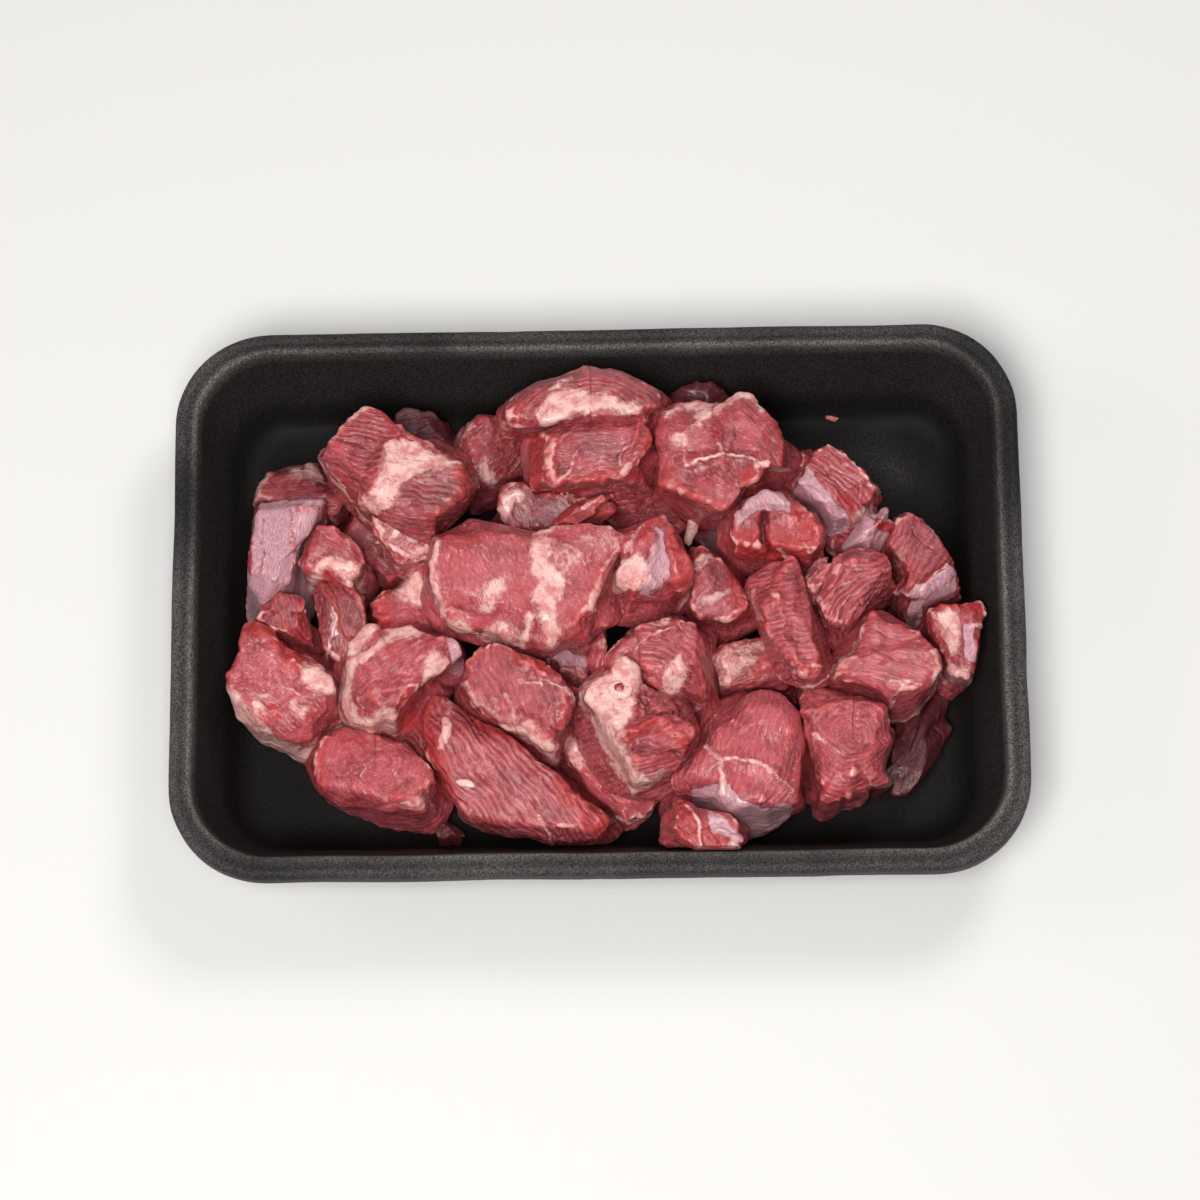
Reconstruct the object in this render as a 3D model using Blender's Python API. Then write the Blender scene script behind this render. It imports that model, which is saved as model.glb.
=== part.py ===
"""A black foam tray heaped with diced raw meat.

Metres, +Z up. The origin is the middle of the tray's underside, X runs along the tray and +Y
points to its back. Sizes below are in millimetres and are turned to metres where a mesh is made.
Every die of meat is a solid of its own. It starts as a box, loses the corners that the knife took,
sags a little, and is then pressed flat wherever it meets a neighbour, the floor or a wall.
"""

import math
from typing import NamedTuple

import bmesh
import bpy
import numpy as np

MM = 0.001
COLLECTION = "meat_tray_pack"

# The tray, pressed from a sheet of foam
TRAY_LENGTH = 240.0
TRAY_WIDTH = 160.0
TRAY_HEIGHT = 36.0
FOAM = 3.0  # thickness of floor and wall
RIM_WIDTH = 6.0  # from the outer edge to the opening
LIP_DROP = 7.4  # how far the rolled edge hangs down
WALL_SLOPE = 10.0  # how far the wall leans in between the opening and the floor
FILLET = 7.0  # bend between floor and wall
CORNER_RADIUS = 27.0
CORNER_TIGHTENING = 0.8  # a line further in has a smaller corner radius, by this share of its inset
CORNER_STEPS = 8

# The meat
GAP = 0.3  # between any two solids
MEAT_ROUNDING = 9.0  # exponent of the blend of faces: higher is sharper
PRESS_ROUNDING = 26.0  # the same where a die is pressed flat
FACE_TILT = 9.0  # degrees that a knife strays from square
CHIPS = 3  # edges of each die that the knife took off
CHIP_SHARES = (0.76, 0.92)
WAVINESS = 0.035  # share of the radius by which a face bulges and dips
WAVES = 5
UPPER_SHARE = 0.25  # of an overlap, the part that the upper of two dice gives way
LEVEL = 8.0  # height difference that makes one die clearly the upper one
SIZE_WEIGHT = 0.25  # how much more a small die gives way to a large one
SMALL = 8.0  # times less volume that makes a die clearly the smaller one

MATERIALS = {
    "black_foam": ("2b2727", 0.62),
    "lean_meat": ("a4525a", 0.38),
    "meat_fat": ("dfaaa8", 0.42),
    "silver_skin": ("bd8f9d", 0.28),
}


class Die(NamedTuple):
    """One die of meat: its middle, size, turn and what is left of its four upright corners.

    corners are given for (+length, +width), (-length, +width), (-length, -width) and
    (+length, -width). 1 is a whole corner, 0.5 one cut off from mid-side to mid-side.
    bend is how far both ends curve towards -width. cells is the number of faces along a side.
    """

    name: str
    at: tuple
    size: tuple
    turn: float
    corners: tuple = (0.9, 0.9, 0.9, 0.9)
    bend: float = 0.0
    cells: int = 4
    material: str = "lean_meat"


DICE = (
    # Left end of the heap
    Die("back_left_low", (-53, 50, 14), (27, 25, 24), 10),
    Die("left_back", (-86, 33, 14), (28, 29, 24), 0),
    Die("fat_band_slab", (-56, 38, 33), (45, 27, 24), -38, (0.92, 0.9, 0.97, 0.9), cells=5),
    Die("flap_nub", (-54, 18, 27), (19, 13, 22), -50, cells=3, material="meat_fat"),
    Die("dark_under_left", (-64, 19, 15), (30, 27, 26), -35),
    Die("silver_strip", (-90, 15, 19), (39, 21, 34), 78, material="silver_skin"),
    Die("fat_front_lump", (-75, 15, 20), (23, 20, 36), -20),
    Die("left_lean_top", (-87, -4, 18), (24, 20, 32), -35),
    Die("left_front", (-88, -23, 19), (34, 33, 35), -20, (0.75, 0.85, 0.75, 0.85), cells=5),
    Die("tendon_lean", (-75, -6, 17), (28, 18, 31), 100),
    Die("fat_rimmed", (-56, -21, 28), (35, 28, 32), 20, (0.85, 0.85, 0.85, 0.6), cells=5),
    Die("fat_ridge", (-51, 1, 18), (31, 23, 32), 0),
    Die("lower_left_lean", (-62, -47, 16), (38, 26, 29), -12, (0.9, 0.8, 0.75, 0.9), cells=5),
    Die("under_scrap", (-44, -58, 9), (15, 12, 14), 0, cells=3),
    # Middle
    Die("long_wedge", (-28, -50, 18), (63, 32, 32), -35, (0.92, 0.9, 0.7, 0.64), cells=5),
    Die("seam_cube", (-23, -28, 27), (33, 27, 30), -33, (0.85, 0.85, 0.85, 0.9), cells=5),
    Die("centre_slab", (-20, 1, 37), (55, 33, 24), -5, (0.9, 0.95, 0.85, 0.8), cells=5),
    Die("under_slab", (-9, -15, 15), (25, 24, 27), 0),
    Die("grey_fat_back", (-30, 47, 15), (28, 25, 27), 15),
    Die("top_roll", (-3, 58, 33), (50, 19, 32), -2, (0.88, 0.85, 0.88, 0.85), bend=7, cells=5),
    Die("seam_face", (-2, 41, 32), (37, 26, 28), 3, (0.88, 0.82, 0.85, 0.82), cells=5),
    Die("fat_end_cube", (-14, 31, 17), (32, 23, 31), 0),
    Die("red_strip", (-4, 25, 31), (21, 6, 9), 30, cells=3),
    Die("deep_centre", (14, 29, 15), (27, 24, 26), 0),
    Die("lavender_fat", (12, 8, 33), (28, 25, 26), 25, (0.88, 0.78, 0.9, 0.85), cells=5),
    Die("left_of_patch", (2, -15, 18), (20, 20, 33), 0),
    Die("fat_patch_lean", (18, -19, 28), (33, 27, 30), 12, (0.8, 0.78, 0.85, 0.8), cells=5),
    Die("tube_fat", (12, -37, 33), (38, 28, 29), -62, (0.9, 0.72, 0.92, 0.92), cells=5),
    Die("below_tube", (3, -46, 17), (36, 27, 30), -48, (0.85, 0.8, 0.85, 0.8)),
    # Right end
    Die("back_lean", (26, 56, 15), (32, 20, 28), 0),
    Die("big_right_back", (36, 42, 27), (41, 35, 34), -10, (0.78, 0.88, 0.85, 0.65), cells=5),
    Die("nub", (55, 42, 14), (15, 15, 24), 0, cells=3),
    Die("red_cut", (50, 20, 30), (27, 22, 28), -8, (0.88, 0.85, 0.88, 0.88)),
    Die("under_red_cut", (41, 19, 13), (25, 21, 22), 0),
    Die("silver_cube", (67, 31, 27), (24, 22, 28), -42, (0.95, 0.92, 0.92, 0.95), cells=5),
    Die("lavender_side", (77, 22, 17), (20, 17, 31), -20, cells=3, material="silver_skin"),
    Die("red_side", (35, 3, 25), (26, 18, 28), -62, (0.85, 0.8, 0.85, 0.85)),
    Die("pink_deep", (43, -16, 16), (31, 21, 28), 5),
    Die("upright_strip", (54, -9, 35), (37, 16, 20), -68, (0.85, 0.7, 0.9, 0.8)),
    Die("swirl", (71, 0, 26), (31, 21, 28), 57, (0.8, 0.85, 0.85, 0.85), cells=5),
    Die("fat_flap", (62, 4, 34), (14, 8, 9), 60, cells=3, material="meat_fat"),
    Die("right_back_lean", (92, 8, 18), (35, 22, 33), -62, (0.85, 0.8, 0.9, 0.85)),
    Die("right_end", (99, -11, 17), (28, 19, 31), 80, (0.85, 0.85, 0.85, 0.85)),
    Die("big_right", (81, -20, 26), (32, 28, 30), -20, (0.8, 0.8, 0.85, 0.75), cells=5),
    Die("right_under", (84, -38, 12), (30, 22, 21), 60, cells=3),
    Die("right_front", (69, -43, 19), (35, 27, 35), 85, (0.88, 0.92, 0.75, 0.88), cells=5),
    Die("big_front", (37, -46, 21), (44, 39, 38), -20, (0.85, 0.68, 0.85, 0.82), cells=5),
    Die("front_lip", (30, -69, 28), (25, 19, 25), -10),
)


def turned(degrees):
    """The rotation about Z, as a matrix that multiplies column vectors."""
    angle = math.radians(degrees)
    c, s = math.cos(angle), math.sin(angle)
    return np.array(((c, -s, 0.0), (s, c, 0.0), (0.0, 0.0, 1.0)))


def unit(vectors):
    return vectors / np.linalg.norm(vectors, axis=-1, keepdims=True)


def cube_shell(cells):
    """A cube primitive from -1 to 1, cut into cells by cells faces a side, and its vertices."""
    shell = bmesh.new()
    bmesh.ops.create_cube(shell, size=2.0)
    bmesh.ops.subdivide_edges(shell, edges=shell.edges[:], cuts=cells - 1, use_grid_fill=True)
    return shell, np.array([vertex.co[:] for vertex in shell.verts])


def knife_faces(die, rng):
    """Outward normals and distances of a die's faces: six sides, four corners and some chips."""
    half = np.array(die.size) / 2
    length, width, _ = half
    sides = np.vstack((np.eye(3), -np.eye(3)))
    across = np.array(((width, length, 0), (-width, length, 0), (-width, -length, 0), (width, -length, 0)))
    shares = [1.0] * len(sides) + list(die.corners)
    chips = []
    for _ in range(CHIPS):
        first, second = rng.choice(3, size=2, replace=False)
        chip = np.zeros(3)
        chip[first] = rng.choice((-1, 1)) / half[first]
        chip[second] = rng.choice((-1, 1)) / half[second]
        chips.append(chip)
        shares.append(rng.uniform(*CHIP_SHARES))
    square = unit(np.vstack((sides, across, chips)))
    distances = np.array(shares) * (np.abs(square) @ half)
    strays = rng.normal(0.0, math.tan(math.radians(FACE_TILT)) / 2, square.shape)
    return unit(square + strays), distances


def wavy(directions, rng):
    """One minus a small sum of slow waves over the directions, so that no face is flat."""
    waves = rng.normal(0.0, 2.2, (WAVES, 3))
    phases = rng.uniform(0.0, math.tau, WAVES)
    height = np.sin(directions @ waves.T + phases).sum(axis=1) / math.sqrt(WAVES)
    return 1.0 + WAVINESS * height


def cut_die(die, directions, rng):
    """The points of a freshly cut die: the smooth blend of its faces, bent and put in place.

    Along a direction d the radius is the power mean (sum of (n.d / distance)^p)^(-1/p) over
    the faces that d points at, with n a face's normal and p the rounding.
    """
    outward = unit(directions * np.array(die.size) / 2)
    normals, distances = knife_faces(die, rng)
    steepness = np.clip(outward @ normals.T, 0.0, None) / distances
    radius = (steepness**MEAT_ROUNDING).sum(axis=1) ** (-1 / MEAT_ROUNDING)
    points = outward * (radius * wavy(outward, rng))[:, None]
    points[:, 1] -= die.bend * (points[:, 0] / (die.size[0] / 2)) ** 2
    return points @ turned(die.turn).T + np.array(die.at)


def all_round(count):
    """count directions spread evenly over a sphere, on a golden spiral."""
    step = np.arange(count) + 0.5
    height = 1 - 2 * step / count
    angle = step * math.pi * (1 + math.sqrt(5))
    ring = np.sqrt(1 - height**2)
    return np.column_stack((ring * np.cos(angle), ring * np.sin(angle), height))


def yielding(first, second):
    """The share of an overlap that the first die gives way: more if it is lower or smaller."""
    rise = np.clip((first.at[2] - second.at[2]) / LEVEL, -1.0, 1.0)
    excess = np.clip(math.log(np.prod(second.size) / np.prod(first.size), SMALL), -1.0, 1.0)
    return np.clip(0.5 - (0.5 - UPPER_SHARE) * rise + SIZE_WEIGHT * excess, 0.05, 0.95)


def contact(first, second, share, directions):
    """The plane at which two dice meet, or None where they are clear of each other.

    Of all directions it takes the one along which they overlap least, and share of the overlap
    comes off the first. Returns the direction and, along it, where the one ends and the other
    starts.
    """
    first_reach = (first @ directions.T).max(axis=0)
    second_start = (second @ directions.T).min(axis=0)
    overlap = first_reach - second_start + GAP
    best = overlap.argmin()
    if overlap[best] <= 0:
        return None
    end = first_reach[best] - share * overlap[best]
    return directions[best], end, end + GAP


def tray_faces():
    """Normals and distances of the floor, the leaning walls and the bends between them.

    A face is given by its slope in the profile and one point on it: the wall by its top edge,
    the bend by the middle of its arc, the floor by any point.
    """
    wall_top = np.array((RIM_WIDTH, TRAY_HEIGHT))
    corner = np.array((RIM_WIDTH + WALL_SLOPE, FOAM))
    up_wall = unit(wall_top - corner)
    bend_start = corner + np.array((FILLET, 0.0))
    bend_end = corner + up_wall * FILLET
    bend_middle = (bend_start + bend_end) / 4 + corner / 2
    normals, distances = [(0.0, 0.0, -1.0)], [-(FOAM + GAP)]
    for along, point, gap in ((up_wall, wall_top, GAP), (unit(bend_end - bend_start), bend_middle, 2 * GAP)):
        outward, upward = along[1], along[0]
        for side_x, side_y, half in ((1, 0, TRAY_LENGTH), (-1, 0, TRAY_LENGTH), (0, 1, TRAY_WIDTH), (0, -1, TRAY_WIDTH)):
            normals.append((side_x * outward, side_y * outward, upward))
            distances.append((half / 2 - point[0]) * outward + point[1] * upward - gap)
    return np.array(normals), np.array(distances)


def pressed(points, normals, distances):
    """The points drawn in towards the die's middle until they are inside every plane."""
    middle = points.mean(axis=0)
    for _ in range(3):
        depths = distances - normals @ middle
        if depths.min() < 1.0:
            middle = middle - normals[depths.argmin()] * (1.5 - depths.min())
    for _ in range(2):
        rays = points - middle
        reach = np.linalg.norm(rays, axis=1)
        outward = rays / reach[:, None]
        steepness = np.clip(outward @ normals.T, 0.0, None) / (distances - normals @ middle)
        tight = reach**-PRESS_ROUNDING + (steepness**PRESS_ROUNDING).sum(axis=1)
        held = middle + outward * (tight ** (-1 / PRESS_ROUNDING))[:, None]
        middle = held.mean(axis=0)
    return held


def heap():
    """The points of every die after they have settled against each other and the tray."""
    directions = all_round(500)
    shells = {}
    cut = {}
    for number, die in enumerate(DICE):
        if die.cells not in shells:
            shell, corners = cube_shell(die.cells)
            shell.free()
            shells[die.cells] = corners
        cut[die.name] = cut_die(die, shells[die.cells], np.random.default_rng(number + 1))
    tray_normals, tray_distances = tray_faces()
    planes = {die.name: (list(tray_normals), list(tray_distances)) for die in DICE}
    for index, first in enumerate(DICE):
        for second in DICE[index + 1 :]:
            share = yielding(first, second)
            meeting = contact(cut[first.name], cut[second.name], share, directions)
            if meeting is None:
                continue
            normal, end, start = meeting
            planes[first.name][0].append(normal)
            planes[first.name][1].append(end)
            planes[second.name][0].append(-normal)
            planes[second.name][1].append(-start)
    return {
        name: pressed(cut[name], np.array(normals), np.array(distances))
        for name, (normals, distances) in planes.items()
    }


def arc(start, corner, end, steps):
    """Points on the curve that leaves start towards corner and arrives at end (quadratic)."""
    share = np.linspace(0.0, 1.0, steps + 1)[:, None]
    start, corner, end = np.array(start), np.array(corner), np.array(end)
    return (1 - share) ** 2 * start + 2 * share * (1 - share) * corner + share**2 * end


def tray_profile():
    """(inset from the outer edge, height) from the floor up, over the rim and back underneath."""
    floor_inset = RIM_WIDTH + WALL_SLOPE
    lean = WALL_SLOPE / (TRAY_HEIGHT - FOAM)
    lip_bottom = TRAY_HEIGHT - LIP_DROP
    outer_bend = FILLET + FOAM

    def wall(height, thickness=0.0):
        return (RIM_WIDTH + lean * (TRAY_HEIGHT - height) - thickness, height)

    return np.vstack(
        (
            arc((floor_inset + FILLET, FOAM), (floor_inset, FOAM), wall(FOAM + FILLET), 4),
            wall(TRAY_HEIGHT / 2),
            arc(wall(TRAY_HEIGHT - 1.6), (RIM_WIDTH, TRAY_HEIGHT), (RIM_WIDTH - 1.4, TRAY_HEIGHT), 3),
            (RIM_WIDTH * 0.55, TRAY_HEIGHT - 0.5),
            arc((2.4, TRAY_HEIGHT - 0.2), (0.0, TRAY_HEIGHT - 0.1), (0.0, TRAY_HEIGHT - 2.8), 3),
            arc((0.0, lip_bottom + 1.6), (0.0, lip_bottom), (1.8, lip_bottom), 2),
            wall(lip_bottom, FOAM),
            wall(TRAY_HEIGHT / 2, FOAM),
            arc(wall(outer_bend, FOAM), (floor_inset - FOAM, 0.0), (floor_inset + FILLET, 0.0), 4),
        )
    )


def round_the_rim(inset, turn):
    """Plan position of a line at an inset from the outer edge: turn counts its points."""
    radius = CORNER_RADIUS - CORNER_TIGHTENING * inset
    quarter, step = divmod(turn, CORNER_STEPS + 1)
    angle = math.radians(90.0 * (quarter + step / CORNER_STEPS))
    side_x = (1, -1, -1, 1)[quarter]
    side_y = (1, 1, -1, -1)[quarter]
    x = side_x * (TRAY_LENGTH / 2 - inset - radius) + radius * math.cos(angle)
    y = side_y * (TRAY_WIDTH / 2 - inset - radius) + radius * math.sin(angle)
    return x, y


def tray_mesh():
    """A grid wrapped round the tray: one way runs along the profile, the other round the rim."""
    profile = tray_profile()
    rows = len(profile) - 1
    turns = 4 * (CORNER_STEPS + 1)
    sheet = bmesh.new()
    bmesh.ops.create_grid(sheet, x_segments=rows, y_segments=turns, size=1.0)
    for vertex in sheet.verts:
        row = round((vertex.co.x + 1) / 2 * rows)
        turn = round((vertex.co.y + 1) / 2 * turns) % turns
        inset, height = profile[row]
        x, y = round_the_rim(inset, turn)
        vertex.co = (x * MM, y * MM, height * MM)
    bmesh.ops.remove_doubles(sheet, verts=sheet.verts[:], dist=0.00001)
    for level in (FOAM * MM, 0.0):
        border = [
            edge
            for edge in sheet.edges
            if edge.is_boundary and all(abs(corner.co.z - level) < 0.00001 for corner in edge.verts)
        ]
        bmesh.ops.contextual_create(sheet, geom=border)
    bmesh.ops.recalc_face_normals(sheet, faces=sheet.faces[:])
    return sheet


def die_mesh(die, points):
    """The cube primitive of a die with its vertices moved to the settled points."""
    shell, _ = cube_shell(die.cells)
    for vertex, point in zip(shell.verts, points):
        vertex.co = point * MM
    return shell


def material(name):
    """A plain finish from an sRGB hex colour and a roughness."""
    colour, roughness = MATERIALS[name]
    found = bpy.data.materials.get(name)
    if found:
        return found
    made = bpy.data.materials.new(name)
    made.use_nodes = True
    shader = made.node_tree.nodes["Principled BSDF"]
    shares = [int(colour[start : start + 2], 16) / 255 for start in (0, 2, 4)]
    linear = [share / 12.92 if share <= 0.04045 else ((share + 0.055) / 1.055) ** 2.4 for share in shares]
    shader.inputs["Base Color"].default_value = (*linear, 1.0)
    shader.inputs["Roughness"].default_value = roughness
    shader.inputs["Metallic"].default_value = 0.0
    return made


def add_object(name, shape, finish, collection):
    """A mesh object from a bmesh, smooth except along its sharp edges."""
    mesh = bpy.data.meshes.new(name)
    shape.to_mesh(mesh)
    shape.free()
    mesh.materials.append(material(finish))
    mesh.shade_smooth()
    mesh.set_sharp_from_angle(angle=math.radians(40))
    made = bpy.data.objects.new(name, mesh)
    collection.objects.link(made)
    return made


def main():
    for old in list(bpy.data.objects):
        bpy.data.objects.remove(old, do_unlink=True)
    pack = bpy.data.collections.new(COLLECTION)
    bpy.context.scene.collection.children.link(pack)
    add_object("tray", tray_mesh(), "black_foam", pack)
    settled = heap()
    for die in DICE:
        add_object(die.name, die_mesh(die, settled[die.name]), die.material, pack)


main()
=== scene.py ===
# %% [markdown]
# # A black foam tray of diced raw meat
#
# The real thing is a shallow tray pressed from black polystyrene foam, filled with about fifty
# dice of raw red meat. Each die was cut by hand, so no two are alike: some faces show the grain
# of the muscle, some its cut ends, some a band of fat or the shiny skin that wraps a muscle.
#
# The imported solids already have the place, size and main form of every piece. This script gives
# each of them its skin: relief fine enough to see, and the wet, marbled finish of meat. All
# lengths are millimetres until a mesh is made, when they become metres.

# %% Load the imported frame
import itertools
import math
from typing import NamedTuple

import bpy
import numpy as np
from mathutils import Matrix, Vector


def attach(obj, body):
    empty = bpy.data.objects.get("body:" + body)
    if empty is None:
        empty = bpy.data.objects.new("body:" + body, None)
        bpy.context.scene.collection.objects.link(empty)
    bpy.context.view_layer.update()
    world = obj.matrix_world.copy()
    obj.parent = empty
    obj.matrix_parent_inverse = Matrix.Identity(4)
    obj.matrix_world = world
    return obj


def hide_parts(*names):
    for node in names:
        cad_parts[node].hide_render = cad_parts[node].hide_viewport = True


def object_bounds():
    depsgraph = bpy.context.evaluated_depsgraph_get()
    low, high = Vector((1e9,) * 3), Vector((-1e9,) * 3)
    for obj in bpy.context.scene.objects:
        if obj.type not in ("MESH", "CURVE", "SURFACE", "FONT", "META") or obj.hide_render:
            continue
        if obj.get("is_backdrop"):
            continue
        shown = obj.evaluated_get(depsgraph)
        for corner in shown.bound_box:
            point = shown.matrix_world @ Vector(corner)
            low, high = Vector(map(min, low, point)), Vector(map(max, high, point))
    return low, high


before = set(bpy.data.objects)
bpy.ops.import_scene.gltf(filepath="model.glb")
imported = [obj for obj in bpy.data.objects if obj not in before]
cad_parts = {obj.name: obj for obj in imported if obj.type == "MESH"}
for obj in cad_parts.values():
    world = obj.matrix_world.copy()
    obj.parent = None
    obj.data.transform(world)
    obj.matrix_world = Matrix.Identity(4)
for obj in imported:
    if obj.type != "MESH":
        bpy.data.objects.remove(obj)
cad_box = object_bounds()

MM = 0.001
BODY = "root"
print("solids in the frame:", len(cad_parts))

# %% [markdown]
# ## The camera
#
# The pack was photographed from almost straight above, from a little to the front, with the
# camera turned by about five degrees. A camera could be aimed by eye, but the marks on the meat
# are placed further down by where they are seen, so the same numbers are kept as plain vectors
# and used for both. A long lens from over a metre away keeps the tray's sides nearly parallel.

# %% Aim the camera
FRAME_SIDE = 1200  # pixels along a side of the square photograph
LENS = 120.0
SENSOR = 36.0
AIM = np.array((0.5, 3.3, 20.0))
DISTANCE = 1140.0
AZIMUTH, ELEVATION, ROLL = math.radians(4.59), math.radians(73.75), math.radians(-5.28)
ZOOM = LENS / SENSOR * FRAME_SIDE

BACK = np.array(
    (math.sin(AZIMUTH) * math.cos(ELEVATION), -math.cos(AZIMUTH) * math.cos(ELEVATION), math.sin(ELEVATION))
)
EYE = AIM + BACK * DISTANCE
level_right = np.cross((0.0, 0.0, 1.0), BACK)
level_right /= np.linalg.norm(level_right)
level_up = np.cross(BACK, level_right)
RIGHT = math.cos(ROLL) * level_right + math.sin(ROLL) * level_up
UP = math.cos(ROLL) * level_up - math.sin(ROLL) * level_right


def seen_at(points):
    """Where points are seen in the frame, in pixels: across and up, divided by the distance away."""
    ray = points - EYE
    away = -(ray @ BACK)
    across = FRAME_SIDE / 2 + ZOOM * (ray @ RIGHT) / away
    down = FRAME_SIDE / 2 - ZOOM * (ray @ UP) / away
    return np.stack((across, down), axis=-1)


lens = bpy.data.cameras.new("camera")
lens.lens, lens.sensor_width, lens.clip_start, lens.clip_end = LENS, SENSOR, 0.05, 20.0
camera = bpy.data.objects.new("camera", lens)
camera.matrix_world = Matrix(
    [[*map(float, (RIGHT[i], UP[i], BACK[i])), float(EYE[i] * MM)] for i in range(3)] + [[0, 0, 0, 1]]
)
bpy.context.scene.collection.objects.link(camera)
bpy.context.scene.camera = camera
print("camera at", (EYE * MM).round(3), "metres")

# %% [markdown]
# ## Colours, nodes and light
#
# Colours are written as they are seen on a screen and turned to linear light once. Materials are
# small networks, so one function adds a node with its settings and its links.

# %% Colour and node helpers


def linear(colour):
    """A six-digit sRGB colour as linear red, green, blue and alpha."""
    shares = [int(colour[start : start + 2], 16) / 255 for start in (0, 2, 4)]
    return (*(s / 12.92 if s <= 0.04045 else ((s + 0.055) / 1.055) ** 2.4 for s in shares), 1.0)


def add_node(tree, kind, inputs=None, **settings):
    """A node with its settings. A socket given as an input is linked, anything else is a value."""
    made = tree.nodes.new(kind)
    for setting, value in settings.items():
        setattr(made, setting, value)
    for socket, value in (inputs or {}).items():
        if isinstance(value, bpy.types.NodeSocket):
            tree.links.new(value, made.inputs[socket])
        else:
            made.inputs[socket].default_value = value
    return made


def blend(tree, factor, first, second, **settings):
    """The colour that lies the given share of the way from the first to the second."""
    made = add_node(
        tree, "ShaderNodeMix", {"Factor": factor, 6: first, 7: second}, data_type="RGBA", **settings
    )
    return made.outputs[2]


def new_material(name):
    """An empty material: its tree, its Principled shader already joined to its output."""
    made = bpy.data.materials.new(name)
    made.use_nodes = True
    made.node_tree.nodes.clear()
    shader = add_node(made.node_tree, "ShaderNodeBsdfPrincipled")
    add_node(made.node_tree, "ShaderNodeOutputMaterial", {"Surface": shader.outputs["BSDF"]})
    return made, made.node_tree, shader


print("middle grey on a screen is", round(linear("808080")[0], 3), "of white in linear light")

# %% [markdown]
# The pack stands on a plain pale table under a large softbox that hangs a little in front of it,
# with two weaker ones at the back right and the left. Broad lights give the wet meat wide soft
# highlights and leave the gaps between the dice dark.

# %% Table and studio light
TABLE_SIDE = 3.0  # metres


def softbox(name, place, side, power):
    """A square area light aimed at the middle of the tray."""
    light = bpy.data.lights.new(name, "AREA")
    light.shape, light.size, light.energy = "SQUARE", side, power
    made = bpy.data.objects.new(name, light)
    made.location = place
    made.rotation_euler = (Vector((0, 0, 0.02)) - Vector(place)).to_track_quat("-Z", "Y").to_euler()
    bpy.context.scene.collection.objects.link(made)


softbox("softbox_over_front", (-0.12, -0.44, 1.15), 0.5, 15.5)
softbox("softbox_back", (0.42, 0.60, 1.05), 0.4, 5.0)
softbox("softbox_left", (-0.95, 0.10, 0.65), 0.5, 1.8)

world = bpy.data.worlds.new("studio")
world.use_nodes = True
world.node_tree.nodes["Background"].inputs["Color"].default_value = linear("f3f2f0")
world.node_tree.nodes["Background"].inputs["Strength"].default_value = 0.11
bpy.context.scene.world = world
bpy.context.scene.view_settings.view_transform = "Standard"

half = TABLE_SIDE / 2
table_mesh = bpy.data.meshes.new("table")
table_corners = [(-half, -half, 0), (half, -half, 0), (half, half, 0), (-half, half, 0)]
table_mesh.from_pydata(table_corners, [], [(0, 1, 2, 3)])
table_finish, tree, shader = new_material("matt_white_laminate")
shader.inputs["Base Color"].default_value = linear("dcdad7")
shader.inputs["Roughness"].default_value = 0.7
table_mesh.materials.append(table_finish)
table = bpy.data.objects.new("table", table_mesh)
bpy.context.scene.collection.objects.link(table)
table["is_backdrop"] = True
print("table and three softboxes")

# %% [markdown]
# ## Unevenness
#
# Nothing on meat or foam is straight, so one source of smooth randomness is used everywhere:
# whole-number points get fixed values by mixing their coordinates, and a point in between blends
# the eight values round it. It gives the same relief in every run.

# %% Smooth noise on whole arrays


def lattice(cells, seed):
    """From -1 to 1 for each whole-number point: its coordinates and the seed, multiplied and mixed."""
    mixed = cells[..., 0] * 374761393 + cells[..., 1] * 668265263 + cells[..., 2] * 1440662683 + seed * 974711
    mixed = (mixed ^ (mixed >> 13)) * 1274126177
    mixed = mixed ^ (mixed >> 16)
    return (mixed & 0xFFFF) / 32767.5 - 1.0


def noise(points, size, seed):
    """Smooth noise of one size: eight lattice values blended by 6t^5 - 15t^4 + 10t^3 along each axis."""
    scaled = points / size
    low = np.floor(scaled).astype(np.int64)
    share = scaled - low
    share = share**3 * (share * (share * 6 - 15) + 10)
    total = np.zeros(len(points))
    for corner in itertools.product((0, 1), repeat=3):
        weight = np.where(corner, share, 1 - share).prod(axis=-1)
        total += weight * lattice(low + np.array(corner), seed)
    return total


def rough(points, size, seed, octaves=3):
    """Noise of several sizes: each is half as large as the one before, and half as strong."""
    return sum(noise(points, size / 2**k, seed + 31 * k) / 2**k for k in range(octaves))


def rise(value, start, end):
    """0 below start, 1 above end, and 3t^2 - 2t^3 in between."""
    share = np.clip((value - start) / (end - start), 0.0, 1.0)
    return share * share * (3 - 2 * share)


def unit(vectors):
    """The vectors divided by their lengths."""
    return vectors / np.linalg.norm(vectors, axis=-1, keepdims=True)


print("noise at four places:", rough(np.arange(12.0).reshape(4, 3), 5.0, 1).round(2))

# %% [markdown]
# ## From arrays to a mesh
#
# Every piece is a set of points and faces worked out beforehand. The function below puts them
# in a mesh, with a finish and with named numbers at its points, hangs the piece on the body that it
# rides on, and hides the solid that it stands for.

# %% Make a piece


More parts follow.
